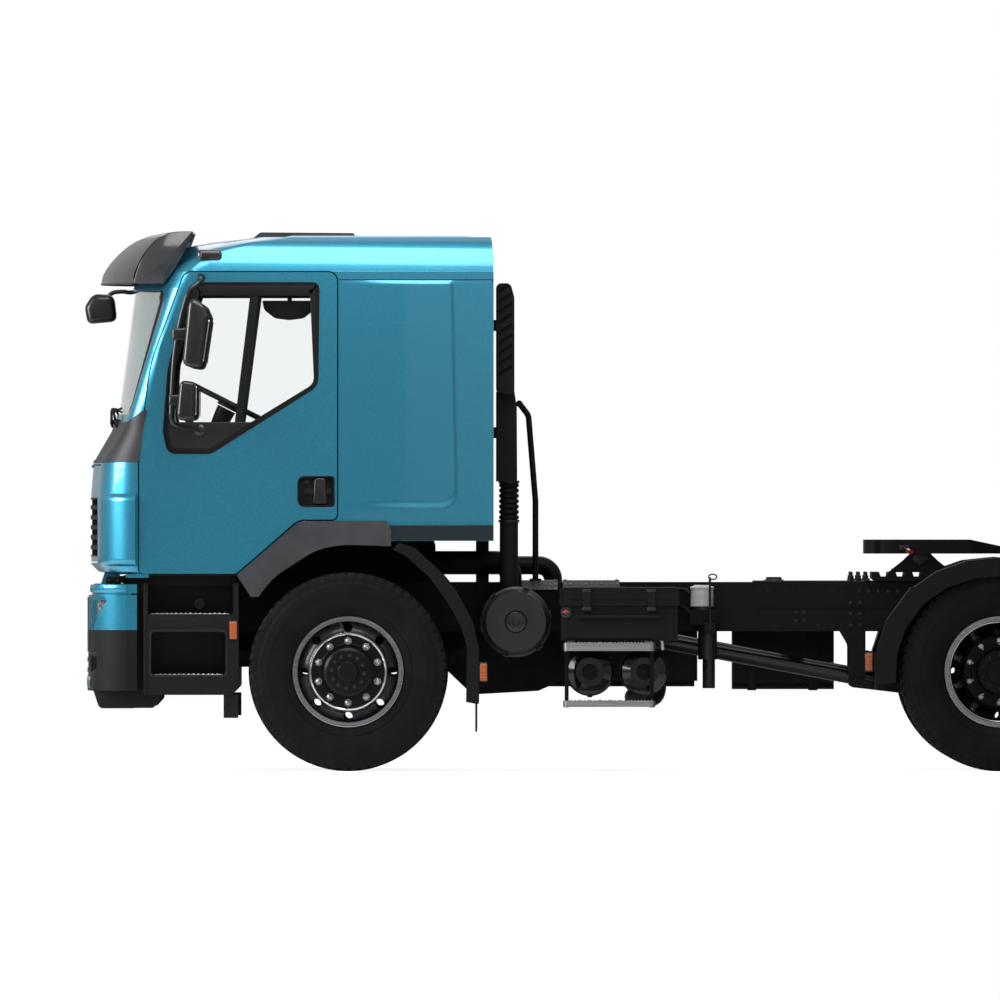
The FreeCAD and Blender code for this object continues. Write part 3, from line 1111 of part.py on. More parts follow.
seat_y = 560.0
interior = []
for y in (-seat_y, seat_y):
    interior.append(fuse([
        slab([(60, floor_top), (60, 1680, 20), (500, 1680, 20), (460, floor_top)], "side",
             y - 170, y + 170),
        slab([(30, 1679, 30), (20, 1790, 50), (540, 1810, 50), (560, 1700, 40)], "side",
             y - 250, y + 250),
        slab([(20, 1760, 40), (-110, 2400, 44), (-10, 2420, 44), (160, 1790, 60)], "side",
             y - 240, y + 240)]))
bunk = fuse([box(-720, -170, -cab_half + 70, cab_half - 70, floor_top, 1700),
             slab([(-720, 1699), (-720, 1830, 40), (-160, 1830, 40), (-160, 1699)], "side",
                  -cab_half + 70, cab_half - 70)])
dash_line = [(firewall[0] - seat_gap, 1560), (firewall[0] - seat_gap, 1880), (1130, 1960, 60), (930, 1985, 50),
             (850, 1900, 50), (880, 1720, 60), (980, 1560, 60)]
dash = slab(dash_line, "side", -cab_half + 90, cab_half - 90).common(cab_block(cab_wall + 18))
wheel_centre = V(645, seat_y, 1990)
wheel_axis = V(-0.45, 0, 0.893).normalize()
column = fuse([Part.makeCylinder(34, 330, wheel_centre - wheel_axis * 360, wheel_axis),
               slab([(755, 1700, 20), (740, 1800, 20), (890, 1820), (900, 1700)], "side",
                    seat_y - 45, seat_y + 45)])
keep("cab_interior", *interior, bunk, fuse([dash, column]))

grip = Part.makeTorus(225, 15, wheel_centre, wheel_axis)
hub = Part.makeCylinder(60, 32, wheel_centre - wheel_axis * 30 + wheel_axis * seat_gap, wheel_axis)
spokes = []
for turn in (0, 120, 240):
    spoke = bar((wheel_centre.x, wheel_centre.y, wheel_centre.z),
                (wheel_centre.x, wheel_centre.y + 220, wheel_centre.z), 12)
    spoke.rotate(wheel_centre, wheel_axis, turn + 180)
    spokes.append(spoke)
keep("steering_wheel", fuse([grip, hub] + spokes))


# The origin goes below the middle of the whole length

bumper_reach = max(piece.BoundBox.XMax for piece in pieces.values())
tail_reach = min(piece.BoundBox.XMin for piece in pieces.values())
shift = V(-(bumper_reach + tail_reach) / 2, 0, 0)
for name, piece in pieces.items():
    moved = piece.copy()
    moved.translate(shift)
    moved.exportStep("parts/" + name + ".step")
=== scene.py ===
"""Visual model of a two-axle cab-over tractor unit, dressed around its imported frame.

Lengths below are written in millimetres ahead of the front axle (x), to the left (y) and
above the ground (z), as the part's drawings are, and to_metres() turns them to the frame's
metres. Each part of a piece is a pair of arrays (points, quads), and a group is such a part
with the name of its finish.
"""
import math

import bmesh
import bpy
import numpy as np
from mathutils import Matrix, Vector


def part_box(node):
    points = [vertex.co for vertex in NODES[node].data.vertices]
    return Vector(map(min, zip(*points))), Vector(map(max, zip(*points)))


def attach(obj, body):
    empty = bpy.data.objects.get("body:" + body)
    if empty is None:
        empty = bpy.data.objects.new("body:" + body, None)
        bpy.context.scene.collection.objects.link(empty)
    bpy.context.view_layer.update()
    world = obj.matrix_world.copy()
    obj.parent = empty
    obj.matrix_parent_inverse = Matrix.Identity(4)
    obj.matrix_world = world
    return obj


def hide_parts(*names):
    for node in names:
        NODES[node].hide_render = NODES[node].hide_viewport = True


bl_info = {
    "name": "Cab-over tractor unit",
    "version": (1, 0, 0),
    "blender": (4, 5, 0),
    "location": "View3D > Sidebar > Tractor",
    "description": "Dresses the tractor unit's frame with its finishes and fine parts",
    "category": "Object",
}

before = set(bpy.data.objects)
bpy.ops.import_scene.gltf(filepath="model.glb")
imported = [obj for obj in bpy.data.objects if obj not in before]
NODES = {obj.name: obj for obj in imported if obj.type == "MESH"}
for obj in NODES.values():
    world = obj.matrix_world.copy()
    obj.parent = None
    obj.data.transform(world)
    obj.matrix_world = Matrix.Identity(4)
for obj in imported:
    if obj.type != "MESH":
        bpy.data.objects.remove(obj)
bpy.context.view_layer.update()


def middle(node):
    """Middle of a CAD node's box, in millimetres."""
    low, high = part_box(node)
    return [float(value) * 1000 for value in (np.array(low) + np.array(high)) / 2]


SHIFT, WHEEL_Y, AXLE_Z = middle("tyre_front_left")
REAR_X, TWIN_Y = middle("tyres_rear_left")[0] - SHIFT, middle("tyres_rear_left")[1]
CAB_HALF = 1150.0
SIDES = ((1, "left"), (-1, "right"))


def to_metres(points):
    """Points of the drawing, in the frame's metres."""
    return (points + np.array([SHIFT, 0.0, 0.0])) / 1000


# Colours and sizes that a user would change

class TractorLook(bpy.types.PropertyGroup):
    """Colours of the finishes and the grain of the paint"""
    paint: bpy.props.StringProperty(name="Cab paint", description="Hex colour of the metallic paint",
                                    default="#2b86a2")
    dark: bpy.props.StringProperty(name="Dark plastic", description="Hex colour of grained trim",
                                   default="#151516")
    black: bpy.props.StringProperty(name="Chassis black", description="Hex colour of chassis paint",
                                    default="#0b0b0c")
    rubber: bpy.props.StringProperty(name="Tyre rubber", description="Hex colour of the tyres",
                                     default="#0e0e0f")
    amber: bpy.props.StringProperty(name="Amber", description="Hex colour of the side markers",
                                    default="#a8511a")
    flake: bpy.props.FloatProperty(name="Paint flake", description="Spacing of the paint's flakes",
                                   default=0.004, min=0.0005, max=0.05, unit="LENGTH")


class TractorSizes(bpy.types.PropertyGroup):
    """Sizes of the tread, the wheel nuts and the picture"""
    tread_depth: bpy.props.FloatProperty(name="Tread depth", description="Depth of the main grooves",
                                         default=0.013, min=0.002, max=0.02, unit="LENGTH")
    tread_pitches: bpy.props.IntProperty(name="Tread pitches", description="Lugs round a tyre",
                                         default=60, min=20, max=90)
    nuts: bpy.props.IntProperty(name="Wheel nuts", description="Nuts on each wheel",
                                default=10, min=6, max=12)
    nut_circle: bpy.props.FloatProperty(name="Nut circle", description="Diameter of the nuts' circle",
                                        default=0.335, min=0.2, max=0.4, unit="LENGTH")
    view_width: bpy.props.FloatProperty(name="View width", description="Width of the picture",
                                        default=5.4, min=2, max=9, unit="LENGTH")
    lens_distance: bpy.props.FloatProperty(name="Camera distance", description="To the near side",
                                           default=180.0, min=20, max=300, unit="LENGTH")


def look():
    """The scene's colours."""
    return bpy.context.scene.tractor_look


def sizes():
    """The scene's sizes."""
    return bpy.context.scene.tractor_sizes


# Materials

def linear(text):
    """sRGB hex colour as linear values with full alpha."""
    srgb = np.array([int(text[i:i + 2], 16) for i in (1, 3, 5)]) / 255
    values = np.where(srgb <= 0.04045, srgb / 12.92, ((srgb + 0.055) / 1.055) ** 2.4)
    return (*[float(v) for v in values], 1.0)


def add(tree, kind, inputs=(), **settings):
    """One node with its properties, and its sockets set to values or joined to outputs."""
    made = tree.nodes.new(kind)
    for name, value in settings.items():
        setattr(made, name, value)
    for name, value in dict(inputs).items():
        if isinstance(value, bpy.types.NodeSocket):
            tree.links.new(value, made.inputs[name])
        else:
            made.inputs[name].default_value = value
    return made


def new_material(name):
    """Empty node material and its tree."""
    material = bpy.data.materials.new(name)
    material.use_nodes = True
    material.node_tree.nodes.clear()
    return material, material.node_tree


def finish(tree, surface):
    """Joins the surface to the material's output."""
    add(tree, "ShaderNodeOutputMaterial", {"Surface": surface})


def principled(inputs_of):
    """Makes a whole material of a function that gives the inputs of its main shader."""
    def make(name, *values):
        material, tree = new_material(name)
        shader = add(tree, "ShaderNodeBsdfPrincipled", inputs_of(tree, *values))
        finish(tree, shader.outputs[0])
        return material
    return make


def in_place(tree):
    """Object coordinates, in metres."""
    return add(tree, "ShaderNodeTexCoord").outputs["Object"]


def bumped(tree, height, strength, distance):
    """Normal from a height, with its depth in metres."""
    return add(tree, "ShaderNodeBump",
               {"Height": height, "Strength": strength, "Distance": distance}).outputs["Normal"]


def noise(tree, size, detail):
    """Noise of a real grain size in metres, on object coordinates."""
    return add(tree, "ShaderNodeTexNoise", {"Vector": in_place(tree), "Scale": 1 / size,
                                            "Detail": detail, "Roughness": 0.55}).outputs["Fac"]


def shaded(tree, factor, dark, light, low=0.35, high=0.65):
    """Colour that goes from dark to light with a factor."""
    ramp = add(tree, "ShaderNodeValToRGB", {"Fac": factor})
    ramp.color_ramp.elements[0].position, ramp.color_ramp.elements[1].position = low, high
    ramp.color_ramp.elements[0].color, ramp.color_ramp.elements[1].color = linear(dark), linear(light)
    return ramp.outputs["Color"]


def scaled(text, share):
    """A hex colour made lighter or darker by a share."""
    parts = [min(255, int(int(text[i:i + 2], 16) * share)) for i in (1, 3, 5)]
    return "#%02x%02x%02x" % tuple(parts)


def mottled(tree, colour, size, detail, dark, light):
    """Colour that wanders between a darker and a lighter share of itself with a noise."""
    return shaded(tree, noise(tree, size, detail), scaled(colour, dark), scaled(colour, light))


@principled
def metallic_paint(tree, colour):
    """Sprayed metallic base under clear lacquer: fine flakes, long soft highlights."""
    tone = mottled(tree, colour, look().flake, 2, 0.93, 1.07)
    orange_peel = bumped(tree, noise(tree, 0.03, 1), 0.05, 0.0004)
    return {"Base Color": tone, "Metallic": 0.75, "Roughness": 0.33, "Coat Weight": 0.7,
            "Coat Roughness": 0.05, "Normal": orange_peel}


@principled
def grained_plastic(tree, colour, rough, grain, specular):
    """Moulded polypropylene with a fine leather grain, a little paler where it is worn."""
    tone = mottled(tree, colour, 0.25, 4, 0.86, 1.16)
    return {"Base Color": tone, "Roughness": rough, "Specular IOR Level": specular,
            "Normal": bumped(tree, noise(tree, grain, 2), 0.25, 0.0006)}


@principled
def gloss_plastic(tree, colour, rough, specular=0.4):
    """Polished dark acrylic, as on visors and mirror backs."""
    return {"Base Color": mottled(tree, colour, 0.4, 2, 0.9, 1.1), "Roughness": rough,
            "Specular IOR Level": specular, "Coat Weight": 0.3, "Coat Roughness": 0.08}


@principled
def chassis_paint(tree, colour, rough=0.42, dust=1.35):
    """Sprayed black enamel on pressed steel: even, satin, faintly dusty on large faces."""
    tone = mottled(tree, colour, 0.35, 5, 0.85, dust)
    return {"Base Color": tone, "Roughness": rough, "Specular IOR Level": 0.14,
            "Normal": bumped(tree, noise(tree, 0.006, 2), 0.12, 0.0004)}


@principled
def cast_iron(tree, colour):
    """Sand-cast iron under thin black paint: coarse sandy skin."""
    tone = mottled(tree, colour, 0.08, 6, 0.8, 1.5)
    return {"Base Color": tone, "Roughness": 0.6, "Specular IOR Level": 0.15,
            "Normal": bumped(tree, noise(tree, 0.005, 4), 0.5, 0.0012)}


@principled
def bare_metal(tree, colour, rough, brushed=0.0):
    """Rolled or brushed metal: fine lines along X where it is brushed."""
    stretched = add(tree, "ShaderNodeMapping", {"Vector": in_place(tree),
                                                "Scale": (4.0, 260.0, 260.0)}).outputs[0]
    lines = add(tree, "ShaderNodeTexNoise", {"Vector": stretched, "Scale": 1.0,
                                             "Detail": 3.0}).outputs["Fac"]
    return {"Base Color": shaded(tree, lines, scaled(colour, 0.9), scaled(colour, 1.1)),
            "Metallic": 1.0, "Roughness": rough, "Normal": bumped(tree, lines, brushed, 0.0003)}


@principled
def chequer_plate(tree, colour):
    """Rolled aluminium floor plate with raised bars set crosswise, 28 mm apart."""
    cells = add(tree, "ShaderNodeTexVoronoi", {"Vector": in_place(tree), "Scale": 1 / 0.028,
                                               "Randomness": 0.15}).outputs["Distance"]
    height = shaded(tree, cells, "#ffffff", "#000000", 0.18, 0.34)
    return {"Base Color": shaded(tree, cells, scaled(colour, 1.2), colour, 0.2, 0.4),
            "Metallic": 1.0, "Roughness": 0.36, "Normal": bumped(tree, height, 0.6, 0.002)}


@principled
def tyre_rubber(tree, colour):
    """Vulcanised black rubber: matt, with a faint grey bloom."""
    tone = mottled(tree, colour, 0.12, 5, 0.85, 1.35)
    return {"Base Color": tone, "Roughness": 0.62, "Specular IOR Level": 0.12,
            "Normal": bumped(tree, noise(tree, 0.003, 3), 0.3, 0.0005)}


def clear_glass(name, colour):
    """Thin float glass: light passes straight through, edges stay a little green."""
    material, tree = new_material(name)
    through = add(tree, "ShaderNodeBsdfTransparent", {"Color": linear(colour)})
    gloss = add(tree, "ShaderNodeBsdfPrincipled",
                {"Base Color": linear(scaled(colour, 0.9)), "Roughness": 0.0, "Alpha": 0.12,
                 "IOR": 1.5, "Specular IOR Level": 0.4})
    at_edge = add(tree, "ShaderNodeFresnel", {"IOR": 1.45}).outputs[0]
    mixed = add(tree, "ShaderNodeMixShader",
                {"Fac": at_edge, 1: through.outputs[0], 2: gloss.outputs[0]})
    finish(tree, mixed.outputs[0])
    return material


@principled
def lamp_cover(tree, colour):
    """Moulded lamp plastic with prism ribs 8 mm apart."""
    wave = add(tree, "ShaderNodeTexWave", {"Vector": in_place(tree), "Scale": 0.3 / 0.008,
                                           "Distortion": 0.0}, bands_direction="Z").outputs["Fac"]
    return {"Base Color": shaded(tree, wave, scaled(colour, 0.8), scaled(colour, 1.1)),
            "Roughness": 0.18, "Coat Weight": 0.6, "Coat Roughness": 0.05,
            "Normal": bumped(tree, wave, 0.4, 0.001)}


@principled
def woven_cloth(tree, colour):
    """Flat woven seat cloth, its threads 4 mm apart, coarse enough to show."""
    where = in_place(tree)
    warp, weft = [add(tree, "ShaderNodeTexWave", {"Vector": where, "Scale": 0.3 / 0.004},
                      bands_direction=way).outputs["Fac"] for way in ("Y", "Z")]
    both = add(tree, "ShaderNodeMath", {0: warp, 1: weft}, operation="MULTIPLY").outputs[0]
    tone = shaded(tree, both, scaled(colour, 0.8), scaled(colour, 1.3), 0.1, 0.9)
    return {"Base Color": tone, "Roughness": 0.9, "Sheen Weight": 0.3,
            "Specular IOR Level": 0.2, "Normal": bumped(tree, both, 0.4, 0.0008)}


MATERIALS = {}


def make_materials():
    """Every finish of the vehicle, under the names that the pieces ask for."""
    dark, black = look().dark, look().black
    MATERIALS.update({
        "paint": metallic_paint("Metallic cab lacquer", look().paint),
        "shade": metallic_paint("Metallic lacquer in shade", scaled(look().paint, 0.28)),
        "trim": grained_plastic("Grained polypropylene trim", dark, 0.5, 0.004, 0.15),
        "cowl": grained_plastic("Grained cowl plastic", scaled(dark, 2.0), 0.45, 0.003, 0.25),
        "arch": grained_plastic("Grained arch plastic", scaled(dark, 2.6), 0.4, 0.003, 0.35),
        "guard": grained_plastic("Mudguard polyethylene", scaled(dark, 0.8), 0.55, 0.006, 0.15),
        "filter": grained_plastic("Filter housing plastic", scaled(dark, 1.9), 0.38, 0.004, 0.3),
        "gloss": gloss_plastic("Smoked acrylic visor", scaled(dark, 2.1), 0.2),
        "housing": gloss_plastic("Satin housing plastic", scaled(dark, 1.35), 0.32, 0.3),
        "enamel": gloss_plastic("Glossy black enamel", scaled(black, 1.2), 0.2, 0.35),
        "chassis": chassis_paint("Chassis enamel", black),
        "cast": cast_iron("Painted cast iron", black),
        "bolt": bare_metal("Blackened steel screws", "#3a3a3c", 0.45),
        "chrome": bare_metal("Chromed steel", "#c9cbce", 0.12),
        "rim": bare_metal("Dark chromed wheel steel", "#8e9093", 0.2),
        "hub": chassis_paint("Hub enamel", scaled(black, 1.2), 0.35, 1.2),
        "alloy": bare_metal("Brushed aluminium", "#9a9b9d", 0.34, 0.2),
        "plate": chequer_plate("Aluminium floor plate", "#77787a"),
        "rubber": tyre_rubber("Tyre rubber", look().rubber),
        "seal": grained_plastic("Extruded rubber seal", "#0c0c0d", 0.6, 0.003, 0.2),
        "glass": clear_glass("Float glass", "#fbfcfc"),
        "screen": clear_glass("Laminated screen glass", "#c2c9c9"),
        "lamp_glass": clear_glass("Lamp polycarbonate", "#f4f6f7"),
        "amber": lamp_cover("Amber lamp plastic", look().amber),
        "red": lamp_cover("Red lamp plastic", "#8c1016"),
        "white": gloss_plastic("White nylon", "#b9b9b6", 0.35),
        "mirror": bare_metal("Silvered mirror glass", "#d6dadd", 0.03),
        "cloth": woven_cloth("Woven seat cloth", "#3a3c40"),
        "leather": grained_plastic("Grained steering wheel cover", "#161617", 0.5, 0.002, 0.3),
        "dash": grained_plastic("Slush-moulded dashboard skin", "#2b2c2e", 0.6, 0.003, 0.25),
    })


def coat(finish_name, *nodes):
    """Gives CAD nodes one of the finishes."""
    for node in nodes:
        NODES[node].data.materials.clear()
        NODES[node].data.materials.append(MATERIALS[finish_name])


def finishes_by_place(node, first, rules):
    """Gives the node its first finish, and others to the faces whose middle, or whose turn
    away from the vehicle's middle plane, passes a rule."""
    coat(first, node)
    data = NODES[node].data
    centres, normals = np.empty((2, len(data.polygons) * 3))
    data.polygons.foreach_get("center", centres)
    data.polygons.foreach_get("normal", normals)
    x, y, z = (centres.reshape(-1, 3) * 1000 - np.array([SHIFT, 0, 0])).T
    out = normals.reshape(-1, 3)[:, 1] * np.sign(y)
    marks = np.zeros(len(x), np.int32)
    for number, (finish_name, rule) in enumerate(rules):
        data.materials.append(MATERIALS[finish_name])
        marks[rule(x, np.abs(y), z, out)] = number + 1
    data.polygons.foreach_set("material_index", marks)


# Surfaces as whole arrays: each maker returns (points, quads) in the drawing's millimetres

def quads_of(rows, columns, wrap_rows, wrap_columns):
    """Quads between neighbours of a grid of points, closed on itself where asked."""
    index = np.arange(rows * columns).reshape(rows, columns)
    if wrap_rows:
        index = np.vstack([index, index[:1]])
    if wrap_columns:
        index = np.hstack([index, index[:, :1]])
    return np.stack([index[:-1, :-1], index[1:, :-1], index[1:, 1:], index[:-1, 1:]],
                    -1).reshape(-1, 4)


def grid(x, y, z):
    """Points of coordinates that stretch to one shape."""
    return np.stack(np.broadcast_arrays(x, y, z), -1)


def sheet(points, wrap_rows=False, wrap_columns=False):
    """Surface through a grid of points with shape (rows, columns, 3)."""
    points = np.asarray(points, float)
    rows, columns = points.shape[:2]
    return points.reshape(-1, 3), quads_of(rows, columns, wrap_rows, wrap_columns)


AXES = {"x": np.eye(3), "y": np.eye(3)[[1, 2, 0]], "z": np.eye(3)[[2, 0, 1]]}


def lathe(profile, centre, axis="y", sides=48):
    """Profile of (distance along the axis, radius) turned about the axis through the centre."""
    along, side, up = AXES[axis]
    reach, radius = np.array(profile, float).T
    angle = np.linspace(0, 2 * np.pi, sides, endpoint=False)
    ring = np.cos(angle)[:, None] * side + np.sin(angle)[:, None] * up
    points = (np.asarray(centre, float) + reach[:, None, None] * along
              + radius[:, None, None] * ring[None])
    return sheet(points, wrap_columns=True)


def soft_block(low, high, bevel, steps=5):
    """Box whose edges are rounded: each direction of a sphere, pushed out to its corner."""
    low, high = np.asarray(low, float), np.asarray(high, float)
    half = (high - low) / 2
    bevel = min(bevel, *(half * 0.98))
    tilt = np.linspace(-np.pi / 2, np.pi / 2, 4 * steps)
    turn = (np.arange(8 * steps) + 0.5) * 2 * np.pi / (8 * steps)
    way = np.stack([np.cos(tilt)[:, None] * np.cos(turn), np.cos(tilt)[:, None] * np.sin(turn),
                    np.repeat(np.sin(tilt)[:, None], len(turn), 1)], -1)
    points = (low + high) / 2 + np.sign(way) * (half - bevel) + bevel * way
    ends = [np.broadcast_to((low + high) / 2 + np.array([0, 0, s * half[2]]), points[:1].shape)
            for s in (-1, 1)]
    points = np.concatenate([ends[0], points, ends[1]])
    return sheet(points, wrap_columns=True)


def spline(points, samples):
    """Smooth line through the points: cubic weights of four neighbours at each sample."""
    points = np.asarray(points, float)
    padded = np.vstack([2 * points[0] - points[1], points, 2 * points[-1] - points[-2]])
    along = np.linspace(0, len(points) - 1, samples)
    start = np.minimum(along.astype(int), len(points) - 2)
    t = (along - start)[:, None]
    a, b, c, d = (padded[start + i] for i in range(4))
    return 0.5 * (2 * b + (c - a) * t + (2 * a - 5 * b + 4 * c - d) * t ** 2
                  + (3 * b - a - 3 * c + d) * t ** 3)


def pipe(points, radius, sides, samples=None):
    """Round bar about a line, smoothed where samples are given: rings square to its direction,
    drawn together at both ends."""
    path = spline(points, samples) if samples else np.asarray(points, float)
    ahead = np.gradient(path, axis=0)
    ahead /= np.linalg.norm(ahead, axis=1, keepdims=True)
    helper = np.eye(3)[int(np.argmin(np.abs(ahead).max(0)))]
    side = np.cross(ahead, helper)
    side /= np.linalg.norm(side, axis=1, keepdims=True)
    up = np.cross(ahead, side)
    angle = np.linspace(0, 2 * np.pi, sides, endpoint=False)
    ring = np.cos(angle)[None, :, None] * side[:, None] + np.sin(angle)[None, :, None] * up[:, None]
    radii = np.broadcast_to(np.asarray(radius, float).reshape(-1, 1, 1), (len(path), 1, 1))
    rings = path[:, None] + radii * ring
    ends = [np.broadcast_to(end, rings[:1].shape) for end in (path[:1, None], path[-1:, None])]
    return sheet(np.concatenate([ends[0], rings, ends[1]]), wrap_columns=True)


PLANES = {"side": (0, 2, 1), "plan": (0, 1, 2), "front": (1, 2, 0)}


def rounded(points, steps=5):
    """Closed outline as an array of (u, v): a third number of a point rounds its corner by a
    quadratic curve in some steps."""
    corners = []
    for i, point in enumerate(points):
        here = np.array(point[:2], float)
        if len(point) < 3:
            corners.append(here[None])
            continue
        back = np.array(points[i - 1][:2], float) - here
        ahead = np.array(points[(i + 1) % len(points)][:2], float) - here
        back, ahead = back / np.linalg.norm(back), ahead / np.linalg.norm(ahead)
        half = np.arccos(np.clip(back @ ahead, -1, 1)) / 2
        reach = point[2] / np.tan(half)
        t = np.linspace(0, 1, steps + 1)[:, None]
        start, end = here + back * reach, here + ahead * reach
        corners.append((1 - t) ** 2 * start + 2 * t * (1 - t) * here + t ** 2 * end)
    return np.vstack(corners)


def inward_of(outline):
    """Unit directions into a closed outline, one for each of its points."""
    after = np.roll(outline, -1, 0)
    ahead = after - np.roll(outline, 1, 0)
    inward = np.stack([-ahead[:, 1], ahead[:, 0]], 1)
    inward /= np.linalg.norm(inward, axis=1, keepdims=True) + 1e-9
    return inward * np.sign(np.sum(outline[:, 0] * after[:, 1] - outline[:, 1] * after[:, 0]))


def ring_at(plane, outline, level):
    """Points of an outline in a plane, set at a level across that plane."""
    u, v, w = PLANES[plane]
    ring = np.zeros((len(outline), 3))
    ring[:, [u, v]], ring[:, w] = outline, level
    return ring


def moulded(outline, plane, low, high, bevel):
    """Plate with the outline, its edges eased by quarter circles of inset rings at both faces."""
    outline = rounded(outline)
    inward = inward_of(outline)
    turn = np.linspace(0, np.pi / 2, 2 if bevel < 6 else 6)
    insets, rise = bevel * (1 - np.sin(turn)), bevel * (1 - np.cos(turn))
    steps = list(zip(insets, low + rise)) + list(zip(insets[::-1], high - rise[::-1]))
    rings = [ring_at(plane, outline + inward * inset, level) for inset, level in steps]
    centre = np.broadcast_to(outline.mean(0), outline.shape)
    ends = [ring_at(plane, centre, level) for level in (low, high)]
    return sheet(np.stack([ends[0]] + rings + [ends[1]]), wrap_columns=True)


def rectangle(start, end, turn):
    """Outline between two opposite corners, each of its corners rounded by turn."""
    (u0, v0), (u1, v1) = start, end
    return [(u0, v0, turn), (u0, v1, turn), (u1, v1, turn), (u1, v0, turn)]


def plate_between(start, end, turn, plane, low, high, bevel):
    """Moulded rectangle between two opposite corners."""
    return moulded(rectangle(start, end, turn), plane, low, high, bevel)


def hoop(outline, plane, level, thick, width):
    """Flat frame of a width just inside an outline, between a level and its thickness."""
    outline = rounded(outline)
    widths = np.broadcast_to(np.asarray(width, float), (len(outline),))[:, None]
    reach = inward_of(outline) * widths
    rings = [ring_at(plane, outline + reach * share, level + thick * rise)
             for share, rise in ((0, 0), (0, 0.7), (0.1, 1), (0.9, 1), (1, 0.7), (1, 0))]
    return sheet(np.stack(rings), wrap_rows=True, wrap_columns=True)


def repeated(moved, quads):
    """One part of moved copies of a part's points, with shape (copies, points, 3)."""
    starts = np.arange(len(moved)) * moved.shape[1]
    return moved.reshape(-1, 3), (quads[None] + starts[:, None, None]).reshape(-1, 4)


def spread(part, offsets):
    """Copies of a part at many offsets, as one part."""
    points, quads = part
    offsets = np.asarray(offsets, float).reshape(-1, 3)
    return repeated(points[None] + offsets[:, None], quads)


def ringed(part, count, centre, start=0.0):
    """Copies of a part turned about a cross-vehicle axis through (x, z)."""
    points, quads = part
    angle = start + np.arange(count) * 2 * np.pi / count
    hub = np.array([centre[0], 0.0, centre[1]])
    spin = np.zeros((count, 3, 3))
    spin[:, 0, 0] = spin[:, 2, 2] = np.cos(angle)
    spin[:, 0, 2], spin[:, 2, 0] = -np.sin(angle), np.sin(angle)
    spin[:, 1, 1] = 1
    return repeated(np.einsum("kij,nj->kni", spin, points - hub) + hub, quads)


def joined(parts):
    """Several parts as one."""
    starts = np.cumsum([0] + [len(points) for points, quads in parts[:-1]])
    return (np.vstack([points for points, quads in parts]),
            np.vstack([quads + start for (points, quads), start in zip(parts, starts)]))


def mirrored(part):
    """The part on the other side of the vehicle."""
    points, quads = part
    return points * np.array([1, -1, 1]), quads[:, ::-1]


def on_side(part, side):
    """The part itself on the left, side 1, or its mirror image on the right, side -1."""
    return part if side > 0 else mirrored(part)


def groups_on(side, groups):
    """(part, finish) groups on one side of the vehicle."""
    return [(on_side(part, side), name) for part, name in groups]


def both_sides(part, name):
    """Groups of a part and its mirror image, in one finish."""
    return [(part, name), (mirrored(part), name)]


def studs(profile, sides, spots):
    """Copies of a turned part that stands along +Z, one on each spot."""
    return spread(lathe(profile, (0, 0, 0), "z", sides), spots)


def screw_head(size, rise):
    """Hexagon head on its washer, the axis along +Y."""
    return lathe([(0, size * 0.72), (rise * 0.25, size * 0.72), (rise * 0.25, size * 0.58),
                  (rise * 0.9, size * 0.58), (rise, size * 0.5), (rise, 0)], (0, 0, 0), sides=6)


def placed(name, data):
    """New object of the data in the scene."""
    made = bpy.data.objects.new(name, data)
    bpy.context.scene.collection.objects.link(made)
    return made


def piece(name, body, groups, smooth=32.0, replaces=(), closed=True):
    """One object at the origin from (part, finish) groups in millimetres; rides on a body."""
    parts, finishes = zip(*groups)
    points, quads = joined(parts)
    data = bpy.data.meshes.new(name)
    data.from_pydata(to_metres(points), [], quads)
    used = list(dict.fromkeys(finishes))
    for finish_name in used:
        data.materials.append(MATERIALS[finish_name])
    marks = np.repeat([used.index(finish_name) for finish_name in finishes],
                      [len(part[1]) for part in parts])
    data.polygons.foreach_set("material_index", marks.astype(np.int32))
    mesh = bmesh.new()
    mesh.from_mesh(data)
    bmesh.ops.remove_doubles(mesh, verts=mesh.verts, dist=1e-6)
    if closed:
        bmesh.ops.recalc_face_normals(mesh, faces=mesh.faces)
    mesh.to_mesh(data)
    mesh.free()
    data.shade_smooth()
    data.set_sharp_from_angle(angle=math.radians(smooth))
    made = placed(name, data)
    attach(made, body)
    if replaces:
        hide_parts(*replaces)
    return made


# The cab's outer skin as the shell is lofted: height, front, bow of the front, half width of
# the bow, where the corner ends at the side, half width and rear wall

SKIN = np.array([
    (1064, 1290, 40, 880, 1100, 1150, -786), (1078, 1360, 50, 900, 1118, 1150, -786),
    (1118, 1400, 55, 920, 1128, 1150, -786), (1500, 1400, 55, 920, 1128, 1150, -786),
    (1666, 1386, 55, 930, 1126, 1150, -786), (1841, 1284, 70, 1000, 1108, 1150, -786),
    (1914, 1264, 78, 1060, 1092, 1150, -786), (2300, 1213, 146, 1050, 1015, 1150, -786),
    (2611, 1172, 200, 1040, 890, 1150, -786), (2700, 1128, 205, 1025, 850, 1150, -786),
    (2790, 1015, 200, 985, 740, 1128, -784), (2850, 820, 150, 900, 560, 1080, -780),
    (2886, 529, 80, 800, 330, 1010, -772)], float)
ROOF_TOP = 2886.0
SHOULDER = 0.7  # share of the way across where the front's bow ends and the corner starts
CORNER_SAG = 0.19  # height of the corner's arc as a share of its chord


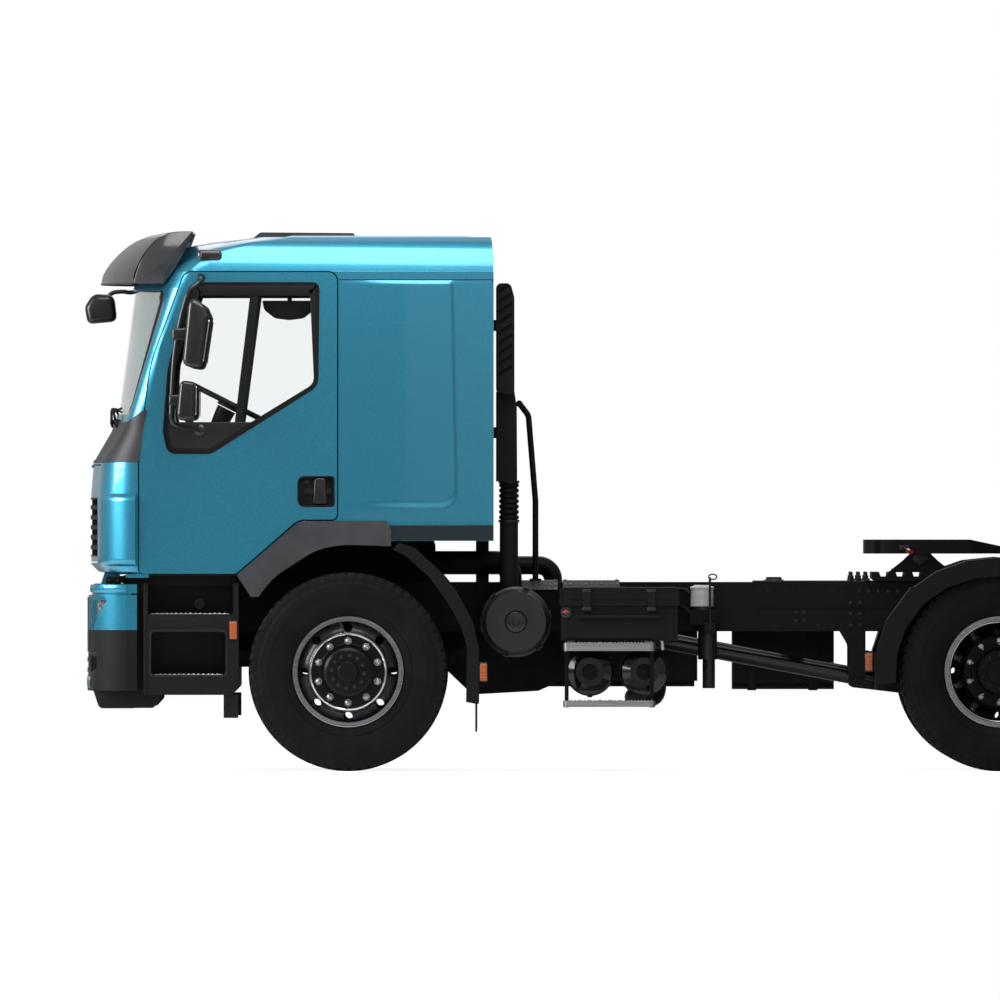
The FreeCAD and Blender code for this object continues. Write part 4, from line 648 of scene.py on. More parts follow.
def skin_points(level, across, lift=0.0, table=SKIN):
    """Points of the outer skin at a height: across runs from -1, the right corner's end,
    over 0, the middle of the front, to 1. A flat arc runs to the shoulder and the corner's
    arc takes the rest; lift moves the point outward in plan."""
    level, across, lift = np.broadcast_arrays(np.asarray(level, float), across, lift)
    rows = np.stack([np.interp(level, table[:, 0], table[:, i]) for i in range(1, 6)], -1)
    front, crown, wide, flank, half = np.moveaxis(rows, -1, 0)
    share = np.abs(across)
    radius = (wide ** 2 + crown ** 2) / (2 * crown)
    bow = np.arcsin(wide / radius) * np.clip(share / SHOULDER, 0, 1)
    on_front = np.stack([front - radius * (1 - np.cos(bow)), radius * np.sin(bow)], -1)
    front_out = np.stack([np.cos(bow), np.sin(bow)], -1)
    start = np.stack([front - crown, wide], -1)
    end = np.stack([flank, half], -1)
    chord = end - start
    length = np.linalg.norm(chord, axis=-1)
    sag = CORNER_SAG * length
    bend = ((length / 2) ** 2 + sag ** 2) / (2 * sag)
    out = np.stack([chord[..., 1], -chord[..., 0]], -1) / length[..., None]
    out = np.where((out.sum(-1) > 0)[..., None], out, -out)
    hub = (start + end) / 2 + out * (sag - bend)[..., None]
    turn_a = np.arctan2(start[..., 1] - hub[..., 1], start[..., 0] - hub[..., 0])
    turn_b = np.arctan2(end[..., 1] - hub[..., 1], end[..., 0] - hub[..., 0])
    turn = turn_a + (turn_b - turn_a) * np.clip((share - SHOULDER) / (1 - SHOULDER), 0, 1)
    corner_out = np.stack([np.cos(turn), np.sin(turn)], -1)
    on_corner = hub + bend[..., None] * corner_out
    on_bow = (share <= SHOULDER)[..., None]
    flat = np.where(on_bow, on_front, on_corner)
    flat = flat + lift[..., None] * np.where(on_bow, front_out, corner_out)
    return np.stack([flat[..., 0], flat[..., 1] * np.where(across < 0, -1, 1), level], -1)


def skin_plate(low, high, start, end, thick, rows, columns, lift=3.0):
    """Shell on the skin between two heights, which may vary across it: an outer face at the
    lift, and rims that go back into the skin by its thickness."""
    across = np.linspace(start, end, columns)
    low, high = np.broadcast_to(low, across.shape), np.broadcast_to(high, across.shape)
    share = np.concatenate([[0, 0], np.linspace(0, 1, rows), [1, 1]])[:, None]
    lifts = np.concatenate([[-thick, lift * 0.7], np.full(rows, lift), [lift * 0.7, -thick]])
    points = skin_points(low + (high - low) * share, across[None], lifts[:, None])
    points[0] = skin_points(low, across, -thick)
    return sheet(points)


def skin_patch(levels, shares, lift, table=SKIN):
    """Sheet on a skin between two heights and two shares across, each (from, to, count)."""
    return sheet(skin_points(np.linspace(*levels)[:, None], np.linspace(*shares)[None], lift, table))


def skin_bar(level, across, lift, radius, sides=6, table=SKIN):
    """Thin pipe along a line on a skin."""
    return pipe(skin_points(level, across, lift, table), radius, sides)


# Wheels and tyres

RIM_LIP = [(120, 299.5), (127.5, 299.2), (128.2, 296), (127.6, 291), (118, 289), (60, 286)]
DISC_OUT = 172.5  # from a rim's middle to its wheel disc, and from the twins' middle to each rim
HUB_FACE = 201  # radius inside which a wheel's disc has the hub's finish


def tyre_part(centre_y, centre_x):
    """Tyre: section from bead to bead by its own width and radius, turned about the axle, with
    four wandering grooves round the tread, sipes between them and lugs cut into its shoulders."""
    crown, bead, inner = 538.0, 299.0, 286.2
    section = np.array([
        (-112, inner), (-114, bead + 2), (-127, bead + 7), (-141, 330), (-153, 378), (-157.2, 420),
        (-157.5, 448), (-154, 474), (-150.5, 486), (-149, 492), (-149.5, 500), (-146, 516),
        (-142, 528), (-134, 536)], float)
    tread_w = np.linspace(-126, 126, 57)
    tread = np.stack([tread_w, crown - 3.0 * (tread_w / 130) ** 2], 1)
    section = np.vstack([section, tread, section[::-1] * np.array([-1, 1]),
                         [(100, inner), (-100, inner)]])
    pitches, per_pitch = sizes().tread_pitches, 6
    turn = np.linspace(0, 2 * np.pi, pitches * per_pitch, endpoint=False)
    width, radius = section[:, 0][:, None], section[:, 1][:, None]
    depth = sizes().tread_depth * 1000
    on_tread = (radius > 520) & (np.abs(width) < 143)
    wander = 2.2 * np.sign(np.sin(turn * pitches))[None]
    grooves = np.zeros((len(section), len(turn)))
    for groove, wide in ((-78, 6.5), (-27, 5.5), (27, 5.5), (78, 6.5)):
        grooves = np.maximum(grooves, np.abs(width - groove - wander) < wide)
    phase = (turn[None] * pitches / (2 * np.pi) + np.sign(width) * 0.25) % 1
    lug = (np.abs(width) > 112) & (phase < 0.3)
    sipe = (np.abs(width) < 112) & (phase > 0.62) & (phase < 0.8)
    drop = on_tread * np.maximum(np.maximum(grooves * depth, lug * depth * 0.8), sipe * depth * 0.35)
    ripple = ((radius > 480) & (radius < 520) & (np.abs(width) > 144)) * (phase < 0.5) * 2.0
    radius = radius - drop
    width = width - np.sign(width) * ripple
    points = grid(centre_x + radius * np.cos(turn), width + centre_y,
                  AXLE_Z + radius * np.sin(turn))
    return sheet(points, wrap_rows=True, wrap_columns=True)


def wall_rings(centre_y, centre_x, side):
    """Three fine raised rings on one wall of a tyre."""
    rings = joined([lathe([(width - 3, radius - 3.5), (width, radius - 1.5), (width, radius + 1.5),
                           (width - 3, radius + 3.5)], (centre_x, 0, AXLE_Z), sides=120)
                    for radius, width in ((345, 148.0), (432, 158.6), (470, 155.8))])
    return rings[0] * np.array([1, side, 1]) + np.array([0, centre_y, 0]), rings[1]


def wheel_nuts(x, seat_y):
    """Wheel nuts on their washers with the stud ends, in a circle about the axle."""
    nut = joined([lathe([(0, 21), (5, 21), (5, 17.3), (24, 17.3), (28, 14), (28, 0)], (0, 0, 0),
                        sides=6),
                  lathe([(28, 11), (46, 11), (49, 8), (49, 0)], (0, 0, 0), sides=12)])
    first = spread(nut, [(x, 0, AXLE_Z + sizes().nut_circle * 500)])
    return spread(ringed(first, sizes().nuts, (x, AXLE_Z)), [(0, seat_y, 0)])


def front_wheel_trim(side):
    """Front wheel: polished ring, hub flange and screws, end cap, rim lip, valve and nuts."""
    centre = (0, 0, AXLE_Z)
    ring = lathe([(170.5, 198), (174.5, 199), (176.5, 203), (175.5, 208), (171.5, 210.5), (166, 210)],
                 centre, sides=96)
    plate = lathe([(172.8, 140), (177, 140), (178.5, 136), (178.5, 128)], centre, sides=72)
    screws = ringed(spread(screw_head(16, 11), [(0, 237, AXLE_Z + 88)]), 12, (0, AXLE_Z), 0.1)
    cap = lathe([(231, 112), (234, 110), (236, 96), (238, 60), (246, 56), (252, 50), (254, 30),
                 (254, 0)], centre)
    lip = lathe(RIM_LIP, centre, sides=96)
    groove = lathe([(174, 152), (175.4, 150), (175.4, 146), (174, 144)], centre, sides=72)
    valve = pipe([(40, 150, AXLE_Z + 262), (30, 172, AXLE_Z + 240), (20, 196, AXLE_Z + 215)], 5, 8)
    return groups_on(side, [(spread(part, [(0, WHEEL_Y, 0)]), name) for part, name in (
        (ring, "chrome"), (plate, "hub"), (screws, "bolt"), (cap, "hub"), (lip, "rim"),
        (groove, "hub"), (valve, "bolt"), (wheel_nuts(0, DISC_OUT), "chrome"))])


def rear_wheel_trim(side):
    """Outer twin wheel: nuts on the recessed disc, hub flange with screws, drum rim, lips."""
    centre = (REAR_X, 0, AXLE_Z)
    ring = lathe([(14, 150), (20, 152), (20, 190), (15, 197)], centre, sides=72)
    screws = ringed(spread(screw_head(12, 10), [(REAR_X, 131, AXLE_Z + 92)]), 10, (REAR_X, AXLE_Z))
    hub = lathe([(131, 116), (135, 114), (137, 70), (141, 66), (145, 40), (145, 0)], centre)
    lip = lathe([(reach + DISC_OUT, radius) for reach, radius in RIM_LIP], centre, sides=96)
    shine = lathe([(148, 262), (156, 266), (158, 270), (150, 274)], centre, sides=96)
    return groups_on(side, [(spread(part, [(0, TWIN_Y, 0)]), name) for part, name in (
        (ring, "hub"), (screws, "bolt"), (hub, "hub"), (lip, "rim"), (shine, "chrome"),
        (wheel_nuts(REAR_X, 14), "chrome"))])


def make_wheels():
    """Tyres in place of the plain ones, and the trim and finishes of all wheels."""
    for side, word in SIDES:
        front = joined([tyre_part(WHEEL_Y, 0), wall_rings(WHEEL_Y, 0, 1)])
        twins = joined([part for offset, face in ((DISC_OUT, 1), (-DISC_OUT, -1))
                        for part in (tyre_part(TWIN_Y + offset, REAR_X),
                                     wall_rings(TWIN_Y + offset, REAR_X, face))])
        axles = (("front_tyre_", f"front_{word}_wheel", "tyre_front_", front, "front_wheel_trim_",
                  front_wheel_trim(side), "rim_front_", 0.0),
                 ("twin_tyres_", f"rear_{word}_wheels", "tyres_rear_", twins, "rear_wheel_trim_",
                  rear_wheel_trim(side), "rims_rear_", REAR_X))
        for name, body, node, tyres, trim_name, trim, rim, x0 in axles:
            piece(name + word, body, [(on_side(tyres, side), "rubber")], 24, [node + word])
            piece(trim_name + word, body, trim)
            finishes_by_place(rim + word, "rim", [
                ("hub", lambda x, y, z, out: np.hypot(x - x0, z - AXLE_Z) < HUB_FACE)])


# Cab

WINDOW = [(840, 2643, 50), (153, 2643, 45), (160, 2080, 90), (740, 1714, 80), (975, 1714, 60),
          (1002, 1830, 150), (975, 2150, 500)]


def smooth_step(value, low, high):
    """0 below low, 1 above high, easing between them by 3t^2 - 2t^3."""
    t = np.clip((value - low) / (high - low), 0, 1)
    return t * t * (3 - 2 * t)


def side_panel(side):
    """Rear side of the cab: a pressed field that stands 9 mm proud, its edge an S-curve that
    runs down at the rear and rounds into the bottom."""
    x = np.linspace(-784, 48, 110)[:, None]
    z = np.linspace(1330, 2652, 110)[None]
    rear = -560 - 22 * (2640 - z) / 1100
    corner = np.hypot(np.minimum(x - (rear + 90), 0), np.minimum(z - 1530, 0))
    inside = np.where((x < rear + 90) & (z < 1530), 90 - corner, np.minimum(x - rear, z - 1440))
    lift = 1.0 + 9.0 * smooth_step(inside, -18, 14) * smooth_step(-x, -48, 420)
    fade = smooth_step(np.minimum(np.minimum(x + 784, 48 - x), np.minimum(z - 1330, 2652 - z)), 0, 14)
    return on_side(sheet(grid(x, CAB_HALF + lift * fade, z)), side)


def roof_beads():
    """Seven pressed ribs along the roof, four long and three short ones, each a half wave of
    the cosine across its width that runs out at both ends."""
    ribs = []
    for spots, length, half, rise, ramp, steps in (
            ((-760, -420, 420, 760), 1060, 46, 11, 0.05, 40), ((-300, 0, 300), 600, 60, 9, 0.1, 20)):
        along, across = np.linspace(0, 1, steps)[:, None], np.linspace(-1, 1, 12)[None]
        height = rise * np.cos(across * np.pi / 2) * smooth_step(along, 0, ramp)
        height = ROOF_TOP - 1 + height * smooth_step(1 - along, 0, ramp)
        ribs += [sheet(grid(-700 + length * along, y + half * across, height)) for y in spots]
    return joined(ribs)


def cowl():
    """Dark band round the front below the windscreen, higher at the pillars."""
    across = np.linspace(-1, 1, 90)
    high = 1888 + 66 * smooth_step(np.abs(across), 0.74, 1.0)
    return skin_plate(1669, high, -1, 1, 6.0, 14, 90)


def corner_deflector():
    """Painted air guide on the left front corner: it stands off the skin towards the door."""
    across = np.linspace(0.66, 0.985, 40)[None]
    level = np.linspace(1108, 1500, 30)[:, None]
    edge = np.minimum(smooth_step(level, 1108, 1130), smooth_step(-level, -1500, -1478))
    lift = 1 + edge * (3 + 24 * smooth_step(across, 0.68, 0.97))
    back = skin_points(level[:, 0], 0.985, -3.0)[:, None]
    return sheet(np.concatenate([skin_points(level, across, lift), back], 1))


def roof_corner():
    """Rolled edge of the roof from the door's top to the roof's flat: the skin's own outlines,
    joined by smooth cubics over the height and pressed 1.5 mm proud."""
    heights = np.concatenate([np.linspace(2703, 2790, 12), np.linspace(2796, 2884.5, 22)])
    table = spline(SKIN[8:], 60)
    table = np.stack([np.interp(heights, table[:, 0], table[:, i]) for i in range(7)], 1)
    across = np.linspace(-1, 1, 97)
    corner = skin_points(heights[:, None], across[None], 1.5, table)
    rear, half = table[:, 6:7] + 3.0, table[:, 5:6] + 1.5
    share = np.linspace(0, 1, 26)[None, :-1]
    side_x = rear + (corner[:, :1, 0] - rear) * share
    right = grid(side_x, -half, heights[:, None])
    left = right[:, ::-1] * np.array([1, -1, 1])
    skin = np.concatenate([right, corner, left], 1)
    inward = skin[-1] - np.array([-120.0, 0, 0])
    inward /= np.linalg.norm(inward * np.array([1, 1, 0]), axis=1, keepdims=True)
    top = [grid(skin[-1, :, 0] - reach * inward[:, 0], skin[-1, :, 1] - reach * inward[:, 1], level)
           for reach, level in ((6, 2887.0), (40, 2887.6), (90, 2887.6), (100, 2885.0))]
    return sheet(np.concatenate([skin, np.stack(top)]))


def door_seal():
    """Rubber seals behind the gap between door and cab, inside the wall: one along the door's
    rear edge and one along its foot."""
    rear = plate_between((24, 1392), (78, 2740), 10, "side", CAB_HALF - 96, CAB_HALF - 62, 4)
    foot = plate_between((584, 1056), (1190, 1078), 4, "side", CAB_HALF - 52, CAB_HALF - 34, 3)
    return joined([rear, foot])


def wipers():
    """Three wiper arms that rest along the screen's foot, with their blades."""
    parts = []
    for pivot, reach in ((-0.52, 0.36), (-0.02, 0.36), (0.44, -0.33)):
        t = np.linspace(0, 1, 24)
        line = skin_points(1880 + 70 * t + 40 * np.sin(t * np.pi), pivot + reach * t,
                           18 + 14 * np.sin(t * np.pi))
        blade = skin_bar(1945 + 17 * t, pivot + reach * (0.35 + t), 9.0, 6)
        foot = lathe([(-24, 24), (12, 22), (18, 12), (18, 0)], skin_points(1880, pivot, 4), "x", 20)
        parts += [pipe(line, 8 - 3.5 * t, 8), blade, foot]
    return joined(parts)


def front_grille():
    """Mesh behind the lid's slots with upright fins and a dark sheet behind, without a badge."""
    bars = [skin_bar(z, np.linspace(-0.62, 0.62, 40), -50.0, 4) for z in np.arange(1172, 1500, 18.0)]
    bars += [skin_bar(np.linspace(1160, 1500, 8), share, -54.0, 3)
             for share in np.arange(-0.61, 0.62, 0.03)]
    for share in (-0.6, -0.36, -0.12, 0.12, 0.36, 0.6):
        ring = [skin_points(np.linspace(1162, 1498, 12), share, lift) + np.array([0, wide, 0])
                for lift, wide in ((-57, -3), (-4, -3), (-4, 3), (-57, 3))]
        bars.append(sheet(np.stack(ring, 1), wrap_columns=True))
    backing = skin_patch((1150, 1510, 4), (-0.64, 0.64, 40), -58.5)
    return [(joined(bars), "seal"), (backing, "guard")]


def slat_caps():
    """Satin dark bars between the six slots of the lid, and narrow ones above and below them."""
    bands = [(1161, 1168)] + [(1198 + 54 * i, 1222 + 54 * i) for i in range(5)] + [(1468, 1478)]
    return joined([skin_plate(low, high, -0.625, 0.625, 3.0, 2, 60) for low, high in bands])


def window_frame(side):
    """Black band and seal round the door's window, wide along the top, and the seal's lip."""
    outline = rounded(WINDOW)
    wide = np.interp(outline[:, 1], [1714, 2540, 2643], [26, 26, 74])
    wide = np.where(outline[:, 0] > 700, np.maximum(wide, 34), wide)
    band = hoop(WINDOW, "side", CAB_HALF - 13, 10, wide)
    lip = hoop(WINDOW, "side", CAB_HALF - 2, 5, 9)
    return groups_on(side, [(band, "seal"), (lip, "seal")])


def door_trim(side):
    """Lining and rim of the door's recess, the grip in it and the lock."""
    recess = moulded([(76, 1432, 20), (270, 1432, 40), (270, 1592, 40), (76, 1592, 20)], "side",
                     CAB_HALF - 23, CAB_HALF - 19, 1)
    rim = hoop([(72, 1428, 22), (274, 1428, 42), (274, 1596, 42), (72, 1596, 22)], "side",
               CAB_HALF - 3, 6, 9)
    grip = moulded([(112, 1446, 12), (188, 1446, 12), (180, 1584, 20), (122, 1584, 14)], "side",
                   CAB_HALF - 16, CAB_HALF + 3, 7)
    lock = lathe([(CAB_HALF - 20, 13), (CAB_HALF - 14, 13), (CAB_HALF - 12, 10), (CAB_HALF - 12, 0)],
                 (222, 0, 1566), sides=24)
    return groups_on(side, [(recess, "trim"), (rim, "trim"), (grip, "housing"), (lock, "bolt")])


def visor():
    """Sun visor: its section line, a rounded hood, swept across the front and drawn back by the
    square of the distance from the middle, with end plates and three stalks."""
    section = np.array([(1346, -252), (1338, -206), (1312, -158), (1262, -98), (1190, -36),
                        (1110, 4), (1020, 26), (930, 32.2), (842, 31.8)], float)
    line = spline(section, 34)
    ahead = np.gradient(line, axis=0)
    ahead /= np.linalg.norm(ahead, axis=1, keepdims=True)
    under = line + 9 * np.stack([-ahead[:, 1], ahead[:, 0]], 1)
    under = np.where(under[:, 1:] > line[:, 1:] + 1, line - (under - line), under)
    loop = np.vstack([line, under[::-1]])
    share = np.linspace(-1, 1, 81)
    pivot, shrink = 839, (1 - 0.36 * share ** 2)[:, None]
    hood = sheet(grid(pivot + (loop[None, :, 0] - pivot) * shrink, share[:, None] * 996,
                      ROOF_TOP + loop[None, :, 1]), wrap_columns=True)
    outline = [(1163, -252, 6), (1150, -206), (1131, -146), (1100, -90), (1064, -38), (1013, 4),
               (972, 24), (900, 32), (842, 32, 4), (872, -52, 60), (935, -170, 60), (998, -252, 8)]
    ends = moulded([(x, ROOF_TOP + z, *turn) for x, z, *turn in outline], "side", 984, 999, 3)
    stalks = [soft_block((858, y - 16, ROOF_TOP - 12), (894, y + 16, ROOF_TOP + 26), 8)
              for y in (-760, 0, 760)]
    edge = grid(pivot + (1343 - pivot) * shrink[:, 0], share * 990, ROOF_TOP - 249.0)
    return [(hood, "gloss"), *both_sides(ends, "gloss"), (joined(stalks), "housing"),
            (pipe(edge, 6, 10), "housing")]


def glass_plate(outline, low, high, line):
    """Mirror glass on the rear face of a housing: a thin plate whose x follows the face's slope
    with its height."""
    points, quads = plate_between((low, outline[0]), (high, outline[1]), 18, "front", -4, 0, 1)
    (x0, z0), (x1, z1) = line
    points[:, 0] += x0 + (points[:, 2] - z0) * (x1 - x0) / (z1 - z0)
    return points, quads


def mirror_set(side):
    """Tube arm with its feet and clamps, the main and the wide-angle mirror, and the panel that
    carries them below the window's sill; over the right window the kerb mirror too."""
    arm = pipe([(794, 1142, 2668), (797, 1230, 2658), (812, 1288, 2634), (868, 1310, 2566),
                (930, 1310, 2290), (951, 1310, 1990), (946, 1304, 1890), (900, 1258, 1858),
                (800, 1142, 1848)], 13, 16, 90)
    main = moulded([(855, 2579, 44), (772, 2516, 30), (748, 2458, 26), (790, 2173, 34),
                    (893, 2190, 44)], "side", 1205, 1424, 26)
    wide = moulded([(905, 2114, 34), (822, 2102, 26), (826, 1902, 30), (925, 1890, 36)], "side",
                   1210, 1400, 22)
    clamps = [soft_block((868, 1292, 2326), (948, 1330, 2394), 12),
              soft_block((896, 1292, 1976), (966, 1330, 2034), 12)]
    feet = [lathe([(1150.3, 0), (1150.3, 24), (1160, 22), (1166, 16), (1166, 0)], (794, 0, 2668), sides=28),
            lathe([(1130, 0), (1130, 32), (1158, 30), (1166, 20), (1166, 0)], (800, 0, 1844), sides=28)]
    panel = moulded([(470, 1887, 6), (740, 1716, 80), (973, 1716, 60), (1000, 1830, 60),
                     (994, 1887, 6)], "side", 1124, 1146, 3)
    groups = [(joined([arm, main, wide] + clamps + feet + [panel]), "housing"),
              (glass_plate((2212, 2440), 1226, 1404, ((786.5, 2190), (748.5, 2450))), "mirror"),
              (glass_plate((1922, 2084), 1228, 1382, ((823, 1920), (819.5, 2090))), "mirror")]
    groups = groups_on(side, groups)
    if side < 0:
        kerb = moulded([(186, 2557, 8), (196, 2506, 40), (254, 2460, 50), (333, 2450, 60), (412, 2460, 50),
                        (470, 2506, 40), (480, 2557, 8)], "side", -1360, -1190, 7)
        bars = [pipe([(330, -1230, 2540), (330, -1215, 2610), (330, -1190, 2655), (330, -1152, 2668)],
                     13, 14, 24),
                lathe([(-1150.3, 0), (-1150.3, 24), (-1160, 22), (-1164, 14), (-1164, 0)],
                      (330, 0, 2668), sides=28)]
        groups += [(kerb, "housing"), (joined(bars), "housing")]
    return groups


def front_mirror():
    """Close-view mirror ahead of the screen on its bent arm."""
    head = moulded([(1269, 2440, 40), (1285, 2585, 50), (1400, 2592, 60), (1446, 2520, 50),
                    (1430, 2426, 34)], "side", -960, -760, 30)
    arm = pipe([(1330, -860, 2560), (1296, -878, 2596), (1240, -886, 2604), (1180, -890, 2602),
                (1060, -898, 2652), (946, -905, 2697)], 12, 14, 50)
    return [(head, "housing"), (arm, "housing")]


def screen_seal():
    """Rubber seal round the windscreen: a flat frame laid back onto the skin."""
    points, quads = hoop([(-1056, 1930, 58), (1056, 1930, 58), (1018, 2597, 68), (-1018, 2597, 68)],
                         "front", 0, 1, 46)
    share = np.interp(np.abs(points[:, 1]), [0, 1060], [0, SHOULDER])
    along = skin_points(points[:, 2], share * np.sign(points[:, 1]), -9 + points[:, 0] * 6)
    along[:, 1] = points[:, 1]
    return along, quads


def roof_side_lamp(side):
    """Smoked lamp on the roof's side with its satin cover."""
    return groups_on(side, [(soft_block((680, 1112, 2762), (816, 1160, 2818), 24), "gloss"),
                            (soft_block((700, 1150, 2774), (796, 1166, 2806), 14), "housing")])


def sill_shade():
    """Shaded steps below the pressed side panel and along the roof's edge."""
    below = moulded([(-784, 1247), (-232, 1247), (-222, 1330), (-784, 1330)], "side",
                    CAB_HALF + 0.5, CAB_HALF + 3, 1)
    above = moulded([(-785, 2652.5), (48, 2652.5), (48, 2657.5), (-785, 2657.5)], "side",
                    CAB_HALF - 2, CAB_HALF + 0.8, 0.3)
    return both_sides(below, "shade") + both_sides(above, "shade")


def coat_cab():
    """Finishes of the cab's own nodes; doors and shell take theirs by place."""
    coat("paint", "cab_roof", "front_panel")
    coat("gloss", "roof_hatch")
    coat("screen", "windscreen")
    coat("glass", "door_glass_left", "door_glass_right")
    coat("arch", "arch_trims")
    coat("leather", "steering_wheel")
    door = [("seal", lambda x, y, z, out: (x > 455) & (x < 640) & (z > 1740) & (z < 2642)
             & (np.abs(x - 500 - (2560 - z) * 0.118) < 48) & (y < 1148)),
            ("dash", lambda x, y, z, out: out < -0.3),
            ("trim", lambda x, y, z, out: (x > 66) & (x < 279) & (z > 1424) & (z < 1600)
             & (y < 1149) & (y > 1060))]
    for node in ("door_left", "door_right"):
        finishes_by_place(node, "paint", door)
    finishes_by_place("cab_shell", "paint", [
        ("dash", lambda x, y, z, out: (x > -772) & (x < 800) & (y < 1118) & (z < 2690)),
        ("guard", lambda x, y, z, out: ((z < 1240) & (x < -240))
         | ((z < 1092) & (y < 1110) & (x < 1050)))])


def make_cab():
    """Cab finishes and the pieces on the cab, its doors and its front lid."""
    coat_cab()
    for side, word in SIDES:
        piece("cab_side_panel_" + word, "cab", [(side_panel(side), "paint")], 40,
              closed=False)
        piece("window_frame_" + word, word + "_door", window_frame(side))
        piece("door_handle_" + word, word + "_door", door_trim(side))
        piece("roof_side_lamp_" + word, "cab", roof_side_lamp(side))
        piece("mirror_set_" + word, word + "_door", mirror_set(side), 40,
              replaces=["mirrors_" + word])
    piece("visor_hood", "cab", visor(), 50, replaces=["sun_visor"])
    piece("front_mirror_head", "cab", front_mirror(), 40, replaces=["front_mirror"])
    piece("roof_corner", "cab", [(roof_corner(), "paint")], 60, closed=False)
    piece("roof_beads", "cab", [(roof_beads(), "paint")], 50, closed=False)
    piece("corner_deflectors", "cab", both_sides(corner_deflector(), "paint"), 40,
          closed=False)
    piece("cab_sill_shade", "cab", sill_shade())
    piece("cowl_band", "cab", [(cowl(), "cowl")], 40, closed=False)
    piece("door_seals", "cab", both_sides(door_seal(), "seal"))
    piece("screen_seal", "cab", [(screen_seal(), "seal")], 50)
    piece("wipers", "cab", [(wipers(), "seal")])
    piece("grille_mesh", "front_lid", front_grille(), closed=False)
    piece("grille_slats", "front_lid", [(slat_caps(), "guard")], closed=False)


# Bumper, lamps and steps

# The bumper's outer face as such a table: the same outline at both heights
BUMPER = np.array([(level, 1420, 28, 900, 1200, 1150, 1140) for level in (300, 1100)], float)


def round_lamp(x, y, z, radius, deep):
    """Reflector bowl with its rim, a bulb shield and a domed glass, facing forward."""
    centre = (x, y, z)
    t = np.linspace(0, 1, 12)
    bowl = lathe(np.stack([-deep * (1 - t ** 2), radius * (0.12 + 0.88 * t)], 1), centre, "x", 40)
    rim = lathe([(-6, radius), (2, radius + 1), (5, radius + 4), (2, radius + 8), (-8, radius + 9)],
                centre, "x", 40)
    shield = lathe([(-deep * 0.9, 0), (-deep * 0.9, radius * 0.16), (-deep * 0.35, radius * 0.18),
                    (-deep * 0.22, radius * 0.1), (-deep * 0.2, 0)], centre, "x", 20)
    dome = lathe(np.stack([2 + 9 * np.cos(t * np.pi / 2), (radius + 1) * np.sin(t * np.pi / 2)], 1),
                 centre, "x", 40)
    return [(bowl, "chrome"), (rim, "chrome"), (shield, "housing"), (dome, "lamp_glass")]


def headlamp(side):
    """Lamp housing behind the lens: dark bowl wall, three round lamps, running light, indicator."""
    groups = [(skin_patch((622, 948, 14), (0.52, 0.985, 30), -52.0, BUMPER), "housing")]
    for y, z, radius in ((806, 858, 58), (796, 724, 54), (930, 866, 50)):
        groups += round_lamp(float(skin_points(z, SHOULDER * y / 900, -48, BUMPER)[0]) - 2, y, z,
                             radius, 60)
    groups += [(skin_bar(z, np.linspace(0.86, 0.975, 16), -42.0, 9, 10, BUMPER), "amber")
               for z in (870, 894, 918)]
    groups.append((skin_bar(np.linspace(668, 932, 30), 0.553, -40.0, 7, 10, BUMPER), "white"))
    return groups_on(side, groups)


def fog_pocket(side):
    """Pocket lining, fog lamp and its bezel."""
    lining = skin_patch((528, 656, 6), (0.62, 0.93, 20), -62.0, BUMPER)
    x = float(skin_points(592, 0.745, -60, BUMPER)[0])
    return groups_on(side, [(lining, "trim")] + round_lamp(x + 2, 938, 596, 42, 40))


def bumper_band(low, high, share, lift):
    """Band across the bumper's face between two heights, its edges drawn back into it."""
    ease = np.array([-3, lift * 0.7, lift, lift, lift * 0.7, -3])[:, None]
    return skin_patch((low, high, 6), (-share, share, 80), ease, BUMPER)


def bumper_trim():
    """Painted chin, mesh and sheet behind the slots, slot rims, tow eye covers and lip ends."""
    mesh = [skin_bar(z, np.linspace(-0.41, 0.41, 30), -34.0, 3, 6, BUMPER)
            for z in np.arange(498, 650, 12.0)]
    mesh += [skin_bar(np.linspace(494, 652, 5), share, -38.0, 3, 6, BUMPER)
             for share in np.arange(-0.41, 0.415, 0.0125)]
    backing = skin_patch((490, 656, 4), (-0.42, 0.42, 20), -44.0, BUMPER)
    slot_rims = [bumper_band(z + low, z + high, 0.405, 2.5)
                 for low, high in ((-5, 0), (34, 39)) for z in (500, 556, 612)]
    lip_end = moulded([(1012, 436), (1012, 386, 30), (1052, 342, 26), (1330, 341, 40), (1372, 436)],
                      "side", 1016, 1034, 6)
    cover = skin_patch((690, 752, 8), (0.2, 0.27, 10),
                       3 * np.sin(np.linspace(0, np.pi, 8))[:, None] ** 0.3, BUMPER)
    return [(bumper_band(440, 521, 0.735, 3.0), "paint"), (joined(mesh), "seal"), (backing, "guard"),
            (joined(slot_rims), "housing"), *both_sides(cover, "trim"), *both_sides(lip_end, "trim")]


def tread_studs(x0, x1, y0, y1, z, pitch):
    """Round studs over a tread, each a low cone with its top dished."""
    stud = [(0, pitch * 0.26), (2.5, pitch * 0.22), (3.2, pitch * 0.14), (1.6, pitch * 0.1), (1.6, 0)]
    across, along = np.meshgrid(np.arange(x0 + pitch, x1 - pitch / 2, pitch),
                                np.arange(y0 + pitch, y1 - pitch / 2, pitch))
    return studs(stud, 10, grid(across.ravel(), along.ravel(), z))


